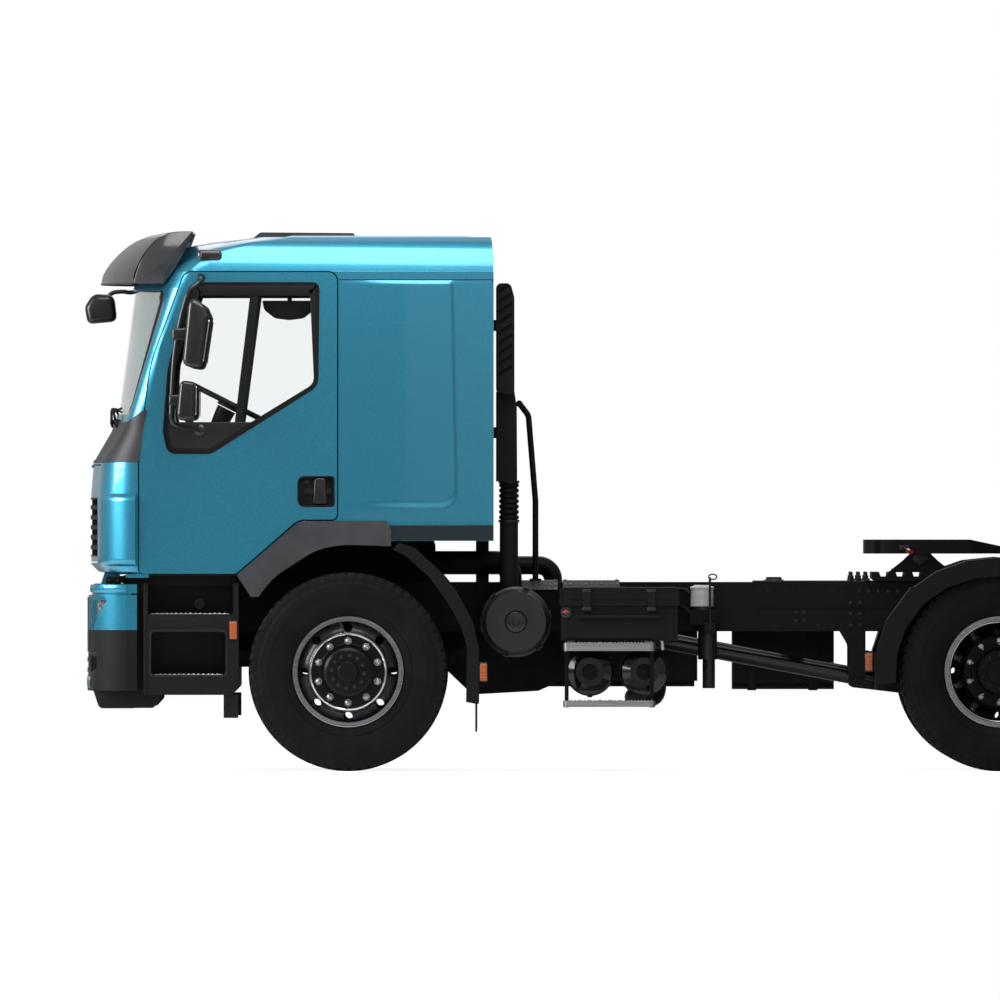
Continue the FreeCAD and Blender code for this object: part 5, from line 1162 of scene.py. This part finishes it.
def cab_step_trim(side):
    """Tread plates with studs, frame of the toe holes, round cover, seams of the step box and
    the dark sheets behind it, painted shade that fills the gap there."""
    groups = []
    for x0, x1, z in ((640, 1066, 848), (676, 1048, 520)):
        groups += [(plate_between((x0, 928), (x1, 1138), 6, "plan", z, z + 5, 1), "alloy"),
                   (tread_studs(x0, x1, 928, 1138, z + 5, 26), "alloy")]
    rim = hoop(rectangle((1074, 510), (650, 766), 36), "side", 1144.5, 4, 11)
    cover = lathe([(921, 31), (926, 31), (928, 28), (928, 10), (925, 8), (925, 0)], (804, 0, 905),
                  sides=32)
    seam = moulded([(1098, 418), (1098, 1010), (1088, 1010), (1088, 418)], "side", 1145, 1148.5, 1.5)
    band = plate_between((628, 786), (1070, 828), 10, "side", 1145, 1149, 2)
    # dark sheets behind the step box: painted shade standing in for the dark gap behind it
    gap_shade_sheets = joined([plate_between((1096, 430), (1164, 1004), 6, "side", 1030, 1052, 2),
                      plate_between((584, 1000), (1215, 1060), 6, "side", 1000, 1016, 2)])
    return groups_on(side, groups + [(rim, "housing"), (cover, "bolt"), (seam, "trim"),
                                     (band, "trim"), (gap_shade_sheets, "guard")])


def cab_mount_trim(side):
    """Painted gap cover over the lamp surround with its backing, and the hinge plate with its
    screws at the cab's front foot."""
    cover = skin_patch((966, 1010, 5), (0.66, 1.0, 24),
                       np.array([-2, 1.5, 2.5, 1.5, -2.0])[:, None], BUMPER)
    hinge = plate_between((1310, 1012), (1225, 1052), 12, "side", 1010, 1040, 3)
    screws = spread(screw_head(12, 8), [(1245, 1040, 1032), (1290, 1040, 1032)])
    backing = skin_patch((925, 978, 5), (0.6, 1.0, 24), -14.0, BUMPER)
    return groups_on(side, [(cover, "paint"), (hinge, "cast"), (screws, "bolt"), (backing, "paint")])


def make_front():
    """Finishes and pieces of the bumper, its lamps and the cab steps."""
    coat("trim", "bumper", "cab_steps")
    coat("paint", "lamp_surrounds")
    coat("lamp_glass", "headlamps")
    piece("bumper_trim", "chassis", bumper_trim(), 40, closed=False)
    for side, word in SIDES:
        piece("headlamp_inside_" + word, "chassis", headlamp(side), 40, closed=False)
        piece("fog_lamp_" + word, "chassis", fog_pocket(side), 40, closed=False)
        piece("step_treads_" + word, "chassis", cab_step_trim(side))
        piece("front_mount_trim_" + word, "chassis", cab_mount_trim(side), closed=False)


# Frame, tanks and boxes between the axles

RAIL_HALF = 410.0  # outer face of a rail's web
ANGLE_HALF = 418.3  # outer face of the angle that carries the fifth wheel


def rail_bolts():
    """Flanged bolt heads in rows on the left rail's web and on the angle above it."""
    rows = [(-2721.6, 850), (-2721.6, 788), (-2773, 850), (-2773, 788)]
    for x in (-1576, -2436, -3426, -3866):
        rows += [(x + reach, z) for reach in (-34, 10) for z in (812, 858)]
    rows += [(x, z) for x in (-4070, -4110, -4200) for z in (830, 900, 960)]
    rows += [(x, z) for x in (760, 840, 1010, 1060) for z in (800, 860)]
    rows += [(x, z) for x in (-1235, -1365, -1665, -1735) for z in (800, 860, 920)]
    low = [(x, RAIL_HALF - 0.5, z) for x, z in rows]
    high = [(x, ANGLE_HALF - 0.5, 972) for x in (-2770, -2821, -2873, -2924, -2975, -3180, -3232,
                                                 -3283, -3335, -3600, -3652, -3800)]
    high += [(x, ANGLE_HALF - 0.5, 910) for x in (-2721, -2773, -3025, -3180, -3335, -3700)]
    return spread(screw_head(15, 11), low + high)


def rail_holes():
    """Rims of the drilled holes along the left rail and its angle, each with a dark disc inside that is
    painted shade for the hole.
    """
    # the flat middle of each ring is a dark disc: painted shade standing in for the inside of the hole
    ring = lathe([(0, 12), (0.8, 11), (0.9, 7.5), (0.3, 7), (0.3, 0)], (0, 0, 0), sides=16)
    high = [(x, ANGLE_HALF + 0.1, 972) for x in (-2219, -2273, -2371, -2468, -2624, -2676)]
    low = [(x, RAIL_HALF + 0.1, 789) for x in (-2074, -2322, -2419, -2549, -2624, -2678)]
    low += [(x, RAIL_HALF + 0.1, 789) for x in np.arange(-3000, -3900, -100.0)]
    return spread(ring, high + low)


def spring_bolts():
    """Clamp bolts over the left front spring and the left rear axle seat, with their nuts."""
    parts = []
    for x, reach, low, high, y, half in ((0, 62, 425, 624, 385, 52), (REAR_X, 74, 372, 548, 385, 56)):
        for offset in (-reach, reach):
            t = np.linspace(0, np.pi, 11)
            arch = grid(x + offset, y - half * np.cos(t), high + 10 * np.sin(t))
            line = np.vstack([[x + offset, y - half, low], arch, [x + offset, y + half, low]])
            parts += [pipe(line, 8, 10), studs([(0, 17), (16, 17), (18, 14), (18, 0)], 6,
                                               [(x + offset, y + w, low - 6) for w in (-half, half)])]
    return joined(parts)


def stud_row():
    """Long studs with nuts that stand on the left rail above the hanger."""
    return studs([(0, 16), (12, 16), (12, 13), (28, 13), (30, 8), (48, 8), (49, 0)], 8,
                 [(x, 350, 1028.5) for x in (-2726, -2766, -2806)])


def battery_trim():
    """Lid straps with their clasps, the isolator switch and the rims of lid and box."""
    groups = []
    for x in (-1290, -1640):
        line = spline([(x - 20, 1152, 985), (x - 20, 1157, 930), (x - 20, 1155, 872)], 14)
        ribbon = np.stack([line, line + np.array([40, 0, 0])])
        strap = np.concatenate([ribbon, ribbon[::-1] + np.array([0, 4, 0])])
        groups += [(sheet(strap, wrap_rows=True), "seal"),
                   (soft_block((x - 26, 1144, 868), (x + 26, 1162, 886), 5), "bolt"),
                   (soft_block((x - 26, 1146, 968), (x + 26, 1160, 984), 5), "bolt")]
    switch = lathe([(1136, 30), (1142, 30), (1144, 26), (1144, 0)], (-1177, 0, 861), sides=32)
    knob = joined([lathe([(1143, 13), (1156, 12), (1160, 8), (1160, 0)], (-1177, 0, 861), sides=24),
                   soft_block((-1197, 1150, 856), (-1157, 1162, 866), 4)])
    rim = hoop([(-1145, 896, 14), (-1145, 990, 20), (-1787, 990, 20), (-1787, 896, 14)], "side",
               1149, 3.5, 9)
    cover = hoop(rectangle((-1175, 722), (-1757, 880), 20), "side", 1137, 3.5, 10)
    return groups + [(switch, "housing"), (knob, "red"), (rim, "guard"), (cover, "guard")]


def tank_trim():
    """Straps, weld seams, sockets and drains of the two air tanks, and the pipe above them."""
    groups = []
    for x in (-1307.0, -1600.0):
        straps = [(y, 14, 14, 128, 131.5, "bolt") for y in (560, 860)]
        seams = [(y, 4, 2, 127, 130, "chassis") for y in (508, 929)]
        for y, foot, top, low, high, name in straps + seams:
            groups.append((lathe([(y - foot, low), (y - top, high), (y + top, high), (y + foot, low)],
                                 (x, 0, 537.0), sides=64), name))
        groups += [(lathe([(978, 46), (987, 44), (990, 38), (990, 20), (994, 18), (994, 0)],
                          (x, 0, 537.0), sides=32), "chassis"),
                   (lathe([(398, 14), (412, 14), (414, 9), (414, 0)], (x, 720, 0), "z", 6), "bolt")]
    above = [(-1490, 1010, 700), (-1500, 1040, 716), (-1560, 1060, 724), (-1640, 1060, 730),
             (-1690, 1052, 712), (-1700, 1030, 660)]
    return groups + [(pipe(above, 12, 12, 40), "alloy")]


def canister_trim():
    """Cap and seams of the pale canister, rings below it, the dipstick with its loop, a bracket
    and two hoses."""
    y = 540.0
    upper, lower = (-1915, y, 0), (-1945, y, 0)
    groups = [(lathe(profile, centre, "z", sides), name) for profile, centre, sides, name in (
        ([(985, 65), (993, 66), (998, 60), (1002, 40), (1006, 16), (1006, 0)], upper, 40, "white"),
        ([(872, 64), (872, 68), (890, 68), (890, 64)], upper, 40, "bolt"),
        ([(940, 62), (940, 63.6), (946, 63.6), (946, 62)], upper, 40, "white"),
        ([(640, 52), (640, 55), (650, 55), (650, 52)], lower, 40, "bolt"),
        ([(760, 52), (760, 56), (786, 56), (786, 52)], lower, 12, "bolt"))]
    t = np.linspace(0, 2 * np.pi, 25)
    loop = grid(-1972 + 22 * np.cos(t), 700.0, 1050 + 14 * np.sin(t))
    groups += [(pipe([(-1957, 700, 760), (-1957, 700, 1020), (-1957, 700, 1048)], 7, 10), "bolt"),
               (pipe(loop, 4, 8), "bolt"),
               (plate_between((-1990, 744), (-1925, 800), 10, "side", 412, 706, 3), "chassis")]
    for z, height in ((960, 20), (850, 30)):
        line = [(-1850, 560, z), (-1820, 540, z + height), (-1760, 500, z + height), (-1700, 460, z)]
        groups.append((pipe(line, 9, 10, 24), "seal"))
    return groups


def filter_trim():
    """Cover clips and the ribbed end disc of the air filter, clamps of the bellows."""
    centre = (-907.0, 0, 807.0)
    rings = [lathe([(968, r + 4), (978, r + 3), (978, r - 3), (968, r - 4)], centre, sides=64)
             for r in (90, 120, 146)]
    cap = lathe([(985, 55), (996, 54), (999, 48), (999, 20), (1003, 16), (1003, 0)], centre, sides=40)
    clip = soft_block((-925, 930, 992), (-889, 975, 1004), 5)
    clamps = [lathe([(z - 7, 50), (z - 7, 57), (z + 7, 57), (z + 7, 50)], (-869, 850, 0), "z", 40)
              for z in (1352, 1564)]
    return [(joined(rings), "guard"), (cap, "housing"),
            (ringed(clip, 6, (centre[0], centre[2]), 0.3), "bolt"), (joined(clamps), "bolt")]


def catwalk_trim():
    """Teeth along the edges of the step frame and screws of the walkway plates."""
    tooth = [(0, 5.5), (4, 4.2), (5, 2.5), (3, 2), (3, 0)]
    screw = [(0, 9), (3, 8.5), (4.5, 5), (3.5, 4), (3.5, 0)]
    spots = [(x, y, z) for z in (694, 381) for y in (1016, 1152) for x in np.arange(-1640, -1175, 18.0)]
    spots += [(x, y, z) for z in (694, 381) for y in np.arange(1040, 1140, 18.0)
              for x in -1632.5 + 56 * np.arange(1, 9) - 8.0]
    screws = [(x, y, 1030) for x in (-905, -1120, -1175, -1455) for y in (-380, -130, 130, 380)]
    return [(studs(tooth, 8, spots), "alloy"), (studs(screw, 12, screws), "bolt")]


def far_side_trim():
    """Filler cap and its grip on the fuel tank, ribs of the silencer's shield and dark discs of painted
    shade for its holes.
    """
    cap = lathe([(1012, 56), (1026, 57), (1032, 52), (1034, 30), (1034, 0)], (-2317, -1020, 0), "z", 40)
    grip = soft_block((-2360, -1028, 1030), (-2274, -1012, 1046), 6)
    ribs = [plate_between((-1840, z), (-1000, z + 16), 8, "side", -1143, -1138, 1.5)
            for z in np.arange(540, 900, 44.0)]
    # dark discs on the shield: painted shade standing in for the depth behind its holes
    hole = lathe([(-0.2, 7), (0.9, 7), (0.9, 5), (0.1, 4.5), (0.1, 0)], (0, 0, 0), sides=10)
    holes = spread(hole, [(x, -1140.6, z) for x in np.arange(-1810, -1020, 32.0)
                          for z in np.arange(578, 900, 44.0)])
    return [(cap, "housing"), (grip, "housing"), (joined(ribs), "bolt"), (holes, "seal")]


def make_chassis():
    """Finishes and pieces of the frame, axles, tanks and boxes."""
    coat("chassis", "frame", "silencer", "fuel_tank")
    coat("cast", "front_axle", "rear_axle", "knuckle_left", "knuckle_right", "tie_rod")
    coat("guard", "front_mudguards", "rear_mudguards", "battery_box", "snorkel")
    finishes_by_place("engine", "cast", [("enamel", lambda x, y, z, out: (x < -1720) & (y < 110))])
    finishes_by_place("air_intake", "guard", [
        ("filter", lambda x, y, z, out: (np.hypot(x + 907, z - 807) < 190) & (y > 640))])
    finishes_by_place("catwalk", "plate", [
        ("alloy", lambda x, y, z, out: z < 760),
        ("chassis", lambda x, y, z, out: (z > 400) & (z < 640))])
    finishes_by_place("air_system", "chassis", [
        ("white", lambda x, y, z, out: (z > 872) & (x < -1848) & (x > -1990)),
        ("enamel", lambda x, y, z, out: z < 700),
        ("housing", lambda x, y, z, out: (z < 780) & (x < -1880))])
    for name, slot, groups in (
            ("rail_bolts", "chassis_paint", both_sides(rail_bolts(), "bolt")),
            # rail holes: black rims with dark discs of painted shade for the holes' inside
            ("rail_holes", "chassis_paint", both_sides(rail_holes(), "seal")),
            ("spring_bolts", "cast", both_sides(spring_bolts(), "bolt")),
            ("rail_studs", "cast", both_sides(stud_row(), "bolt")),
            ("battery_trim", "black_plastic", battery_trim()),
            ("tank_trim", "chassis_paint", tank_trim()),
            ("canister_trim", "grey_plastic", canister_trim()),
            ("filter_trim", "black_plastic", filter_trim()),
            ("catwalk_trim", "aluminium", catwalk_trim()),
            ("far_side_trim", "chassis_paint", far_side_trim())):
        piece(name, "chassis", groups)


# Fifth wheel, tail and side lamps

COUPLING_X = -3105.0
RAIL_END = -4260.0


def plate_grooves():
    """Grease grooves on the coupling plate: dark shallow arcs about the jaw."""
    parts = []
    for radius, first, last in ((150, 35, 150), (230, 25, 150), (310, 20, 120)):
        angle = np.radians(np.linspace(first, last, 40))
        for sign in (1, -1):
            parts.append(sheet(np.stack([
                grid(COUPLING_X + (radius + reach) * np.cos(angle),
                     sign * (radius + reach) * np.sin(angle), 1250.0 + rise)
                for reach, rise in ((-5, -0.5), (-4, 1.0), (4, 1.0), (5, -0.5))])))
    return joined(parts)


def release_handle():
    """Release lever that leaves the plate on the left, with its grip and safety catch."""
    lever = pipe([(-3010, 380, 1204), (-3010, 470, 1204), (-3024, 560, 1196), (-3036, 640, 1190)],
                 9, 12, 30)
    grip = pipe([(-3030, 610, 1193), (-3044, 700, 1184)], 13, 16)
    catch = soft_block((-3040, 462, 1190), (-2985, 474, 1222), 5)
    return [(lever, "bolt"), (grip, "red"), (catch, "bolt")]


def coupling_base_trim():
    """Bolts of the pedestals, pivot caps and bolts through the base's feet, on both sides."""
    bolts = studs([(0, 17), (4, 17), (4, 13), (17, 13), (19, 10), (19, 0)], 6,
                  [(x, y, 1075) for x in (-2965, -2990, -3220, -3245) for y in (330, 372)])
    cap = lathe([(402, 46), (410, 45), (413, 38), (413, 12), (417, 10), (417, 0)],
                (COUPLING_X, 0, 1158), sides=40)
    feet = studs([(0, 15), (4, 15), (4, 11), (14, 11), (15, 8), (15, 0)], 6,
                 [(x, y, 1027) for x in (-2815, -3395) for y in (420, 452)])
    return both_sides(joined([bolts, cap, feet]), "bolt")


def tail_bar():
    """Rear cross plate, lamp housings on their arms, and the side markers with their bases."""
    end = RAIL_END
    one_side = [(plate_between((end - 6, 840), (end + 60, 876), 8, "side", 411, 1066, 3), "chassis"),
                (soft_block((end - 38, 642, 792), (end - 5, 1098, 923), 16), "housing")]
    for low, high, name in ((655, 770, "amber"), (775, 900, "red"), (905, 985, "white"),
                            (990, 1086, "red")):
        one_side.append((soft_block((end - 44, low, 806), (end - 32, high, 910), 6), name))
    for x, y, z in ((595, 1146.3, 710), (-755.3, 1142, 484), (-2838, 1194, 540)):
        one_side += [(soft_block((x, y, z), (x + 48, y + 9, z + 104), 4), "housing"),
                     (soft_block((x + 4, y + 5, z + 6), (x + 44, y + 18, z + 98), 7), "amber")]
    plate = plate_between((-428, 792), (428, 988), 14, "front", end, end + 10, 2)
    return [(plate, "chassis")] + [group for part, name in one_side
                                   for group in both_sides(part, name)]


def make_coupling():
    """Finishes and pieces of the fifth wheel, the tail and the side markers."""
    coat("chassis", "fifth_wheel_base", "fifth_wheel_plate")
    piece("plate_grooves", "coupling_plate", [(plate_grooves(), "seal")], closed=False)
    piece("release_handle", "coupling_plate", release_handle())
    piece("coupling_bolts", "chassis", coupling_base_trim())
    piece("tail_and_markers", "chassis", tail_bar(), replaces=["marker_lamps"])


# Interior

DRIVER_Y = 560.0


def cushion(length, width, thick, bolster, channels):
    """Seat pad about its own origin: rounded box whose upper face rises at both sides into
    bolsters and sinks along stitched channels across it."""
    half = np.array([length, width, thick]) / 2
    points, quads = soft_block(-half, half, thick * 0.42, 9)
    side_share, along = np.abs(points[:, 1]) / half[1], points[:, 0] / length
    upper = smooth_step(points[:, 2], 0, thick * 0.3)
    end_ease = 1 - 0.4 * smooth_step(np.abs(along), 0.3, 0.5)
    crown = bolster * smooth_step(side_share, 0.55, 0.95) * end_ease
    wave = np.abs(((along + 0.5) * channels) % 1 - 0.5) * 2
    stitched = 7 * smooth_step(wave, 0.72, 1.0) * (side_share < 0.6)
    points[:, 2] += upper * (crown - stitched)
    return points, quads


def turned_to(part, pitch, spot):
    """The part pitched about the cross axis by degrees and set at a spot."""
    points, quads = part
    c, s = math.cos(math.radians(pitch)), math.sin(math.radians(pitch))
    turn = np.array([[c, 0, -s], [0, 1, 0], [s, 0, c]])
    return points @ turn.T + np.asarray(spot, float), quads


def seat_parts(y):
    """Pads of one seat, the hard parts below them and its armrests."""
    seat = turned_to(cushion(500, 490, 120, 26, 4), 4, (285, y, 1748))
    back = turned_to(cushion(600, 476, 120, 34, 5), 101, (-5, y, 2085))
    head = turned_to(cushion(150, 290, 100, 10, 2), 98, (-58, y, 2410))
    base = soft_block((70, y - 165, 1424), (480, y + 165, 1560), 30)
    gaiter = [soft_block((90, y - 150, z), (460, y + 150, z + 34), 15) for z in (1556, 1588, 1620, 1652)]
    rests = [turned_to(cushion(300, 62, 48, 2, 1), 3, (150, y + w, 1960)) for w in (-262, 262)]
    return [seat, back, head], [base] + gaiter, rests


def dashboard():
    """Dashboard as one section line swept across the cab, lower in the middle, with a hood
    over the gauges, and its vents, shelf, blank screen and gauge rims."""
    y = np.linspace(-1060, 1060, 120)[:, None]
    t = np.linspace(0, 1, 40)[None]
    hood = np.exp(-((y - DRIVER_Y) / 230) ** 4)
    nose = np.array([(1180, 1560), (1178, 1870), (1128, 1944), (1010, 1968), (925, 1962), (862, 1900),
                     (866, 1800), (886, 1720), (985, 1562)], float)
    line = spline(nose, 40)
    x = line[None, :, 0] - 26 * hood * np.exp(-((t - 0.5) / 0.16) ** 2)
    z = line[None, :, 1] + 22 * hood * np.exp(-((t - 0.47) / 0.14) ** 2) - 10 * (1 - hood) * (t > 0.4)
    top = sheet(grid(x, y, z))
    vents = []
    for spot in (-900, -560, -60, 160, 960):
        vents += [soft_block((862, spot - 62, z0), (880, spot + 62, z0 + 9), 4) for z0 in
                  np.arange(1838, 1898, 15.0)]
    shelf = plate_between((-420, 1745), (120, 1815), 20, "front", 855, 872, 4)
    screen = plate_between((-180, 1826), (40, 1920), 12, "front", 846, 862, 3)
    gauges = [lathe([(-12, 52), (-4, 52), (-2, 48), (-8, 44), (-8, 0)], (866, y0, 1910), "x", 32)
              for y0 in (DRIVER_Y - 60, DRIVER_Y + 60)]
    return [(top, "dash"), (joined(vents), "housing"), (shelf, "trim"), (screen, "gloss"),
            (joined(gauges), "gloss")]


def steering_column():
    """Column shroud from its box at the dashboard to the steering wheel, with two stalks."""
    centre, axis = np.array([645, DRIVER_Y, 1990.0]), np.array([-0.45, 0, 0.893])
    axis = axis / np.linalg.norm(axis)
    t = np.linspace(0, 1, 12)
    shroud = pipe(centre - axis * 34 - axis * (1 - t[:, None]) * 326, 36 + 16 * smooth_step(t, 0.4, 1), 20)
    box_part = soft_block((745, DRIVER_Y - 44, 1704), (892, DRIVER_Y + 44, 1818), 18)
    stalks = [pipe(centre + np.array([[0, 30 * s, 0], [8, 110 * s, 6], [12, 175 * s, 12]]) - axis * 60,
                   6, 10) for s in (-1, 1)]
    return [(shroud, "trim"), (box_part, "trim"), (joined(stalks), "trim")]


def make_interior():
    """Padded seats, armrests and mattress, and the hard pieces of the cab's inside."""
    pads, hard, rests = [sum(parts, []) for parts in zip(seat_parts(DRIVER_Y), seat_parts(-DRIVER_Y))]
    soft = [("seat_pad_%d" % number, pad) for number, pad in enumerate(pads, 1)]
    soft += [("armrest_%d" % number, rest) for number, rest in enumerate(rests, 1)]
    soft.append(("bunk_mattress", turned_to(cushion(556, 2150, 124, 4, 3), 0, (-440, 0, 1764))))
    for name, pad in soft:
        made = piece(name, "cab", [(pad, "cloth")], 60)
    bunk = soft_block((-718, -1078, 1422), (-172, 1078, 1700), 18)
    piece("seat_bases", "cab", [(joined(hard), "trim")])
    piece("bunk_box", "cab", [(bunk, "dash")], replaces=["cab_interior"])
    piece("dashboard", "cab", dashboard(), 45, closed=False)
    piece("steering_column", "cab", steering_column())


# Stage

FLOOR_HALF = 500.0  # metres
FLOOR_GLOW = 0.86  # light of its own that the floor shows to the camera
SKY_LIGHT, SKY_GLOSS = 0.14, 0.3  # strength that lights the scene, share of it in reflections
AIM = (0.0, 0.0, 1.2)  # point that every lamp is turned to
LAMPS = (("key", (1.3, 2.7, 4.9), 3.0, 170.0), ("rear_key", (-2.2, 3.2, 5.4), 3.0, 40.0),
         ("front", (7.0, 2.6, 3.2), 3.0, 420.0), ("side", (-1.0, 9.0, 3.0), 5.0, 24.0),
         ("back", (0.0, -6.0, 6.0), 6.0, 110.0))  # name, place, size in metres, power in watts
SENSOR = 36.0  # millimetres
PICTURE_MIDDLE = (-0.8208, 1.466)  # metres ahead of the front axle and above the ground


def make_floor():
    """White floor that takes shadows and glows by itself, for the camera's rays only."""
    material, tree = new_material("Studio floor")
    rays = add(tree, "ShaderNodeLightPath")
    diffuse = add(tree, "ShaderNodeBsdfDiffuse", {"Color": linear("#ffffff")})
    glow_here = add(tree, "ShaderNodeMapRange", {"Value": rays.outputs["Is Camera Ray"],
                                                 "To Min": 0.0, "To Max": FLOOR_GLOW})
    glow = add(tree, "ShaderNodeEmission", {"Color": linear("#ffffff"),
                                            "Strength": glow_here.outputs[0]})
    finish(tree, add(tree, "ShaderNodeAddShader",
                     {0: diffuse.outputs[0], 1: glow.outputs[0]}).outputs[0])
    data = bpy.data.meshes.new("studio_floor")
    corners = [(x * FLOOR_HALF, y * FLOOR_HALF, 0) for x, y in ((-1, -1), (1, -1), (1, 1), (-1, 1))]
    data.from_pydata(corners, [], [(0, 1, 2, 3)])
    data.materials.append(material)
    floor = placed("studio_floor", data)


def make_sky():
    """Even white surround: full strength to the camera and through glass, weak as a light."""
    world = bpy.data.worlds.new("Studio")
    world.use_nodes = True
    tree = world.node_tree
    tree.nodes.clear()
    rays = add(tree, "ShaderNodeLightPath").outputs
    seen = add(tree, "ShaderNodeMath", {0: rays["Is Camera Ray"], 1: rays["Is Transmission Ray"]},
               operation="MAXIMUM").outputs[0]
    gloss = add(tree, "ShaderNodeMath", {0: rays["Is Glossy Ray"], 1: SKY_GLOSS},
                operation="MULTIPLY").outputs[0]
    seen = add(tree, "ShaderNodeMath", {0: seen, 1: gloss}, operation="MAXIMUM").outputs[0]
    strength = add(tree, "ShaderNodeMapRange", {"Value": seen, "To Min": SKY_LIGHT, "To Max": 1.0})
    background = add(tree, "ShaderNodeBackground",
                     {"Color": linear("#ffffff"), "Strength": strength.outputs[0]})
    add(tree, "ShaderNodeOutputWorld", {"Surface": background.outputs[0]})
    bpy.context.scene.world = world


def make_lamps():
    """Square area lamps, each turned to the same point."""
    for name, spot, size, power in LAMPS:
        light = bpy.data.lights.new("soft_" + name, "AREA")
        light.shape, light.size, light.energy = "SQUARE", size, power
        lamp = placed("soft_" + name, light)
        lamp.location = spot
        x, y, z = np.array(AIM) - np.array(spot)
        lamp.rotation_euler = (math.atan2(math.hypot(x, y), -z), 0, math.atan2(y, x) - math.pi / 2)


def make_camera():
    """Long lens square to the vehicle's left side, as the photo is nearly orthographic."""
    far = sizes().lens_distance
    camera = bpy.data.cameras.new("photo_camera")
    camera.sensor_width = SENSOR
    camera.lens = SENSOR * far / sizes().view_width
    camera.clip_end = far * 3
    view = placed("photo_camera", camera)
    ahead, height = PICTURE_MIDDLE
    view.location = (SHIFT / 1000 + ahead, CAB_HALF / 1000 + far, height)
    view.rotation_euler = (math.pi / 2, 0, math.pi)
    bpy.context.scene.camera = view


def make_stage():
    """Floor, surround, lamps and camera."""
    bpy.context.scene.view_settings.view_transform = "Standard"
    make_floor()
    make_sky()
    make_lamps()
    make_camera()


# Operators, panel and the run as a script

class TRACTOR_OT_materials(bpy.types.Operator):
    """Make every finish of the vehicle"""
    bl_idname = "tractor.materials"
    bl_label = "Make materials"

    def execute(self, context):
        make_materials()
        return {"FINISHED"}


class TRACTOR_OT_wheels(bpy.types.Operator):
    """Dress the wheels with treaded tyres, nuts and hubs"""
    bl_idname = "tractor.wheels"
    bl_label = "Dress wheels"

    def execute(self, context):
        make_wheels()
        return {"FINISHED"}


class TRACTOR_OT_cab(bpy.types.Operator):
    """Dress the cab, its doors, roof and front lid"""
    bl_idname = "tractor.cab"
    bl_label = "Dress cab"

    def execute(self, context):
        make_cab()
        return {"FINISHED"}


class TRACTOR_OT_front(bpy.types.Operator):
    """Dress the bumper, lamps and cab steps"""
    bl_idname = "tractor.front"
    bl_label = "Dress front"

    def execute(self, context):
        make_front()
        return {"FINISHED"}


class TRACTOR_OT_chassis(bpy.types.Operator):
    """Dress the frame and the equipment between the axles"""
    bl_idname = "tractor.chassis"
    bl_label = "Dress chassis"

    def execute(self, context):
        make_chassis()
        return {"FINISHED"}


class TRACTOR_OT_coupling(bpy.types.Operator):
    """Dress the fifth wheel, the tail and the side lamps"""
    bl_idname = "tractor.coupling"
    bl_label = "Dress coupling"

    def execute(self, context):
        make_coupling()
        return {"FINISHED"}


class TRACTOR_OT_interior(bpy.types.Operator):
    """Fit padded seats, bunk, dashboard and column"""
    bl_idname = "tractor.interior"
    bl_label = "Fit interior"

    def execute(self, context):
        make_interior()
        return {"FINISHED"}


class TRACTOR_OT_stage(bpy.types.Operator):
    """Set the floor, light and camera"""
    bl_idname = "tractor.stage"
    bl_label = "Set stage"

    def execute(self, context):
        make_stage()
        return {"FINISHED"}


OPERATORS = (TRACTOR_OT_materials, TRACTOR_OT_wheels, TRACTOR_OT_cab, TRACTOR_OT_front,
             TRACTOR_OT_chassis, TRACTOR_OT_coupling, TRACTOR_OT_interior, TRACTOR_OT_stage)


class TRACTOR_PT_panel(bpy.types.Panel):
    """Colours, sizes and the steps that dress the tractor"""
    bl_idname = "TRACTOR_PT_panel"
    bl_label = "Tractor unit"
    bl_space_type = "VIEW_3D"
    bl_region_type = "UI"
    bl_category = "Tractor"

    def draw(self, context):
        for group in (context.scene.tractor_look, context.scene.tractor_sizes):
            for name in group.__annotations__:
                self.layout.prop(group, name)
        for operator in OPERATORS:
            self.layout.operator(operator.bl_idname)


CLASSES = (TractorLook, TractorSizes) + OPERATORS + (TRACTOR_PT_panel,)


def register():
    """Makes the properties, operators and panel known."""
    for made in CLASSES:
        bpy.utils.register_class(made)
    bpy.types.Scene.tractor_look = bpy.props.PointerProperty(type=TractorLook)
    bpy.types.Scene.tractor_sizes = bpy.props.PointerProperty(type=TractorSizes)


def unregister():
    """Takes them out again, in the opposite order."""
    del bpy.types.Scene.tractor_look
    del bpy.types.Scene.tractor_sizes
    for made in reversed(CLASSES):
        bpy.utils.unregister_class(made)


def main():
    """Runs every step."""
    register()
    bpy.ops.tractor.materials()
    bpy.ops.tractor.wheels()
    bpy.ops.tractor.cab()
    bpy.ops.tractor.front()
    bpy.ops.tractor.chassis()
    bpy.ops.tractor.coupling()
    bpy.ops.tractor.interior()
    bpy.ops.tractor.stage()
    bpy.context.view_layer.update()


if __name__ == "__main__":
    main()
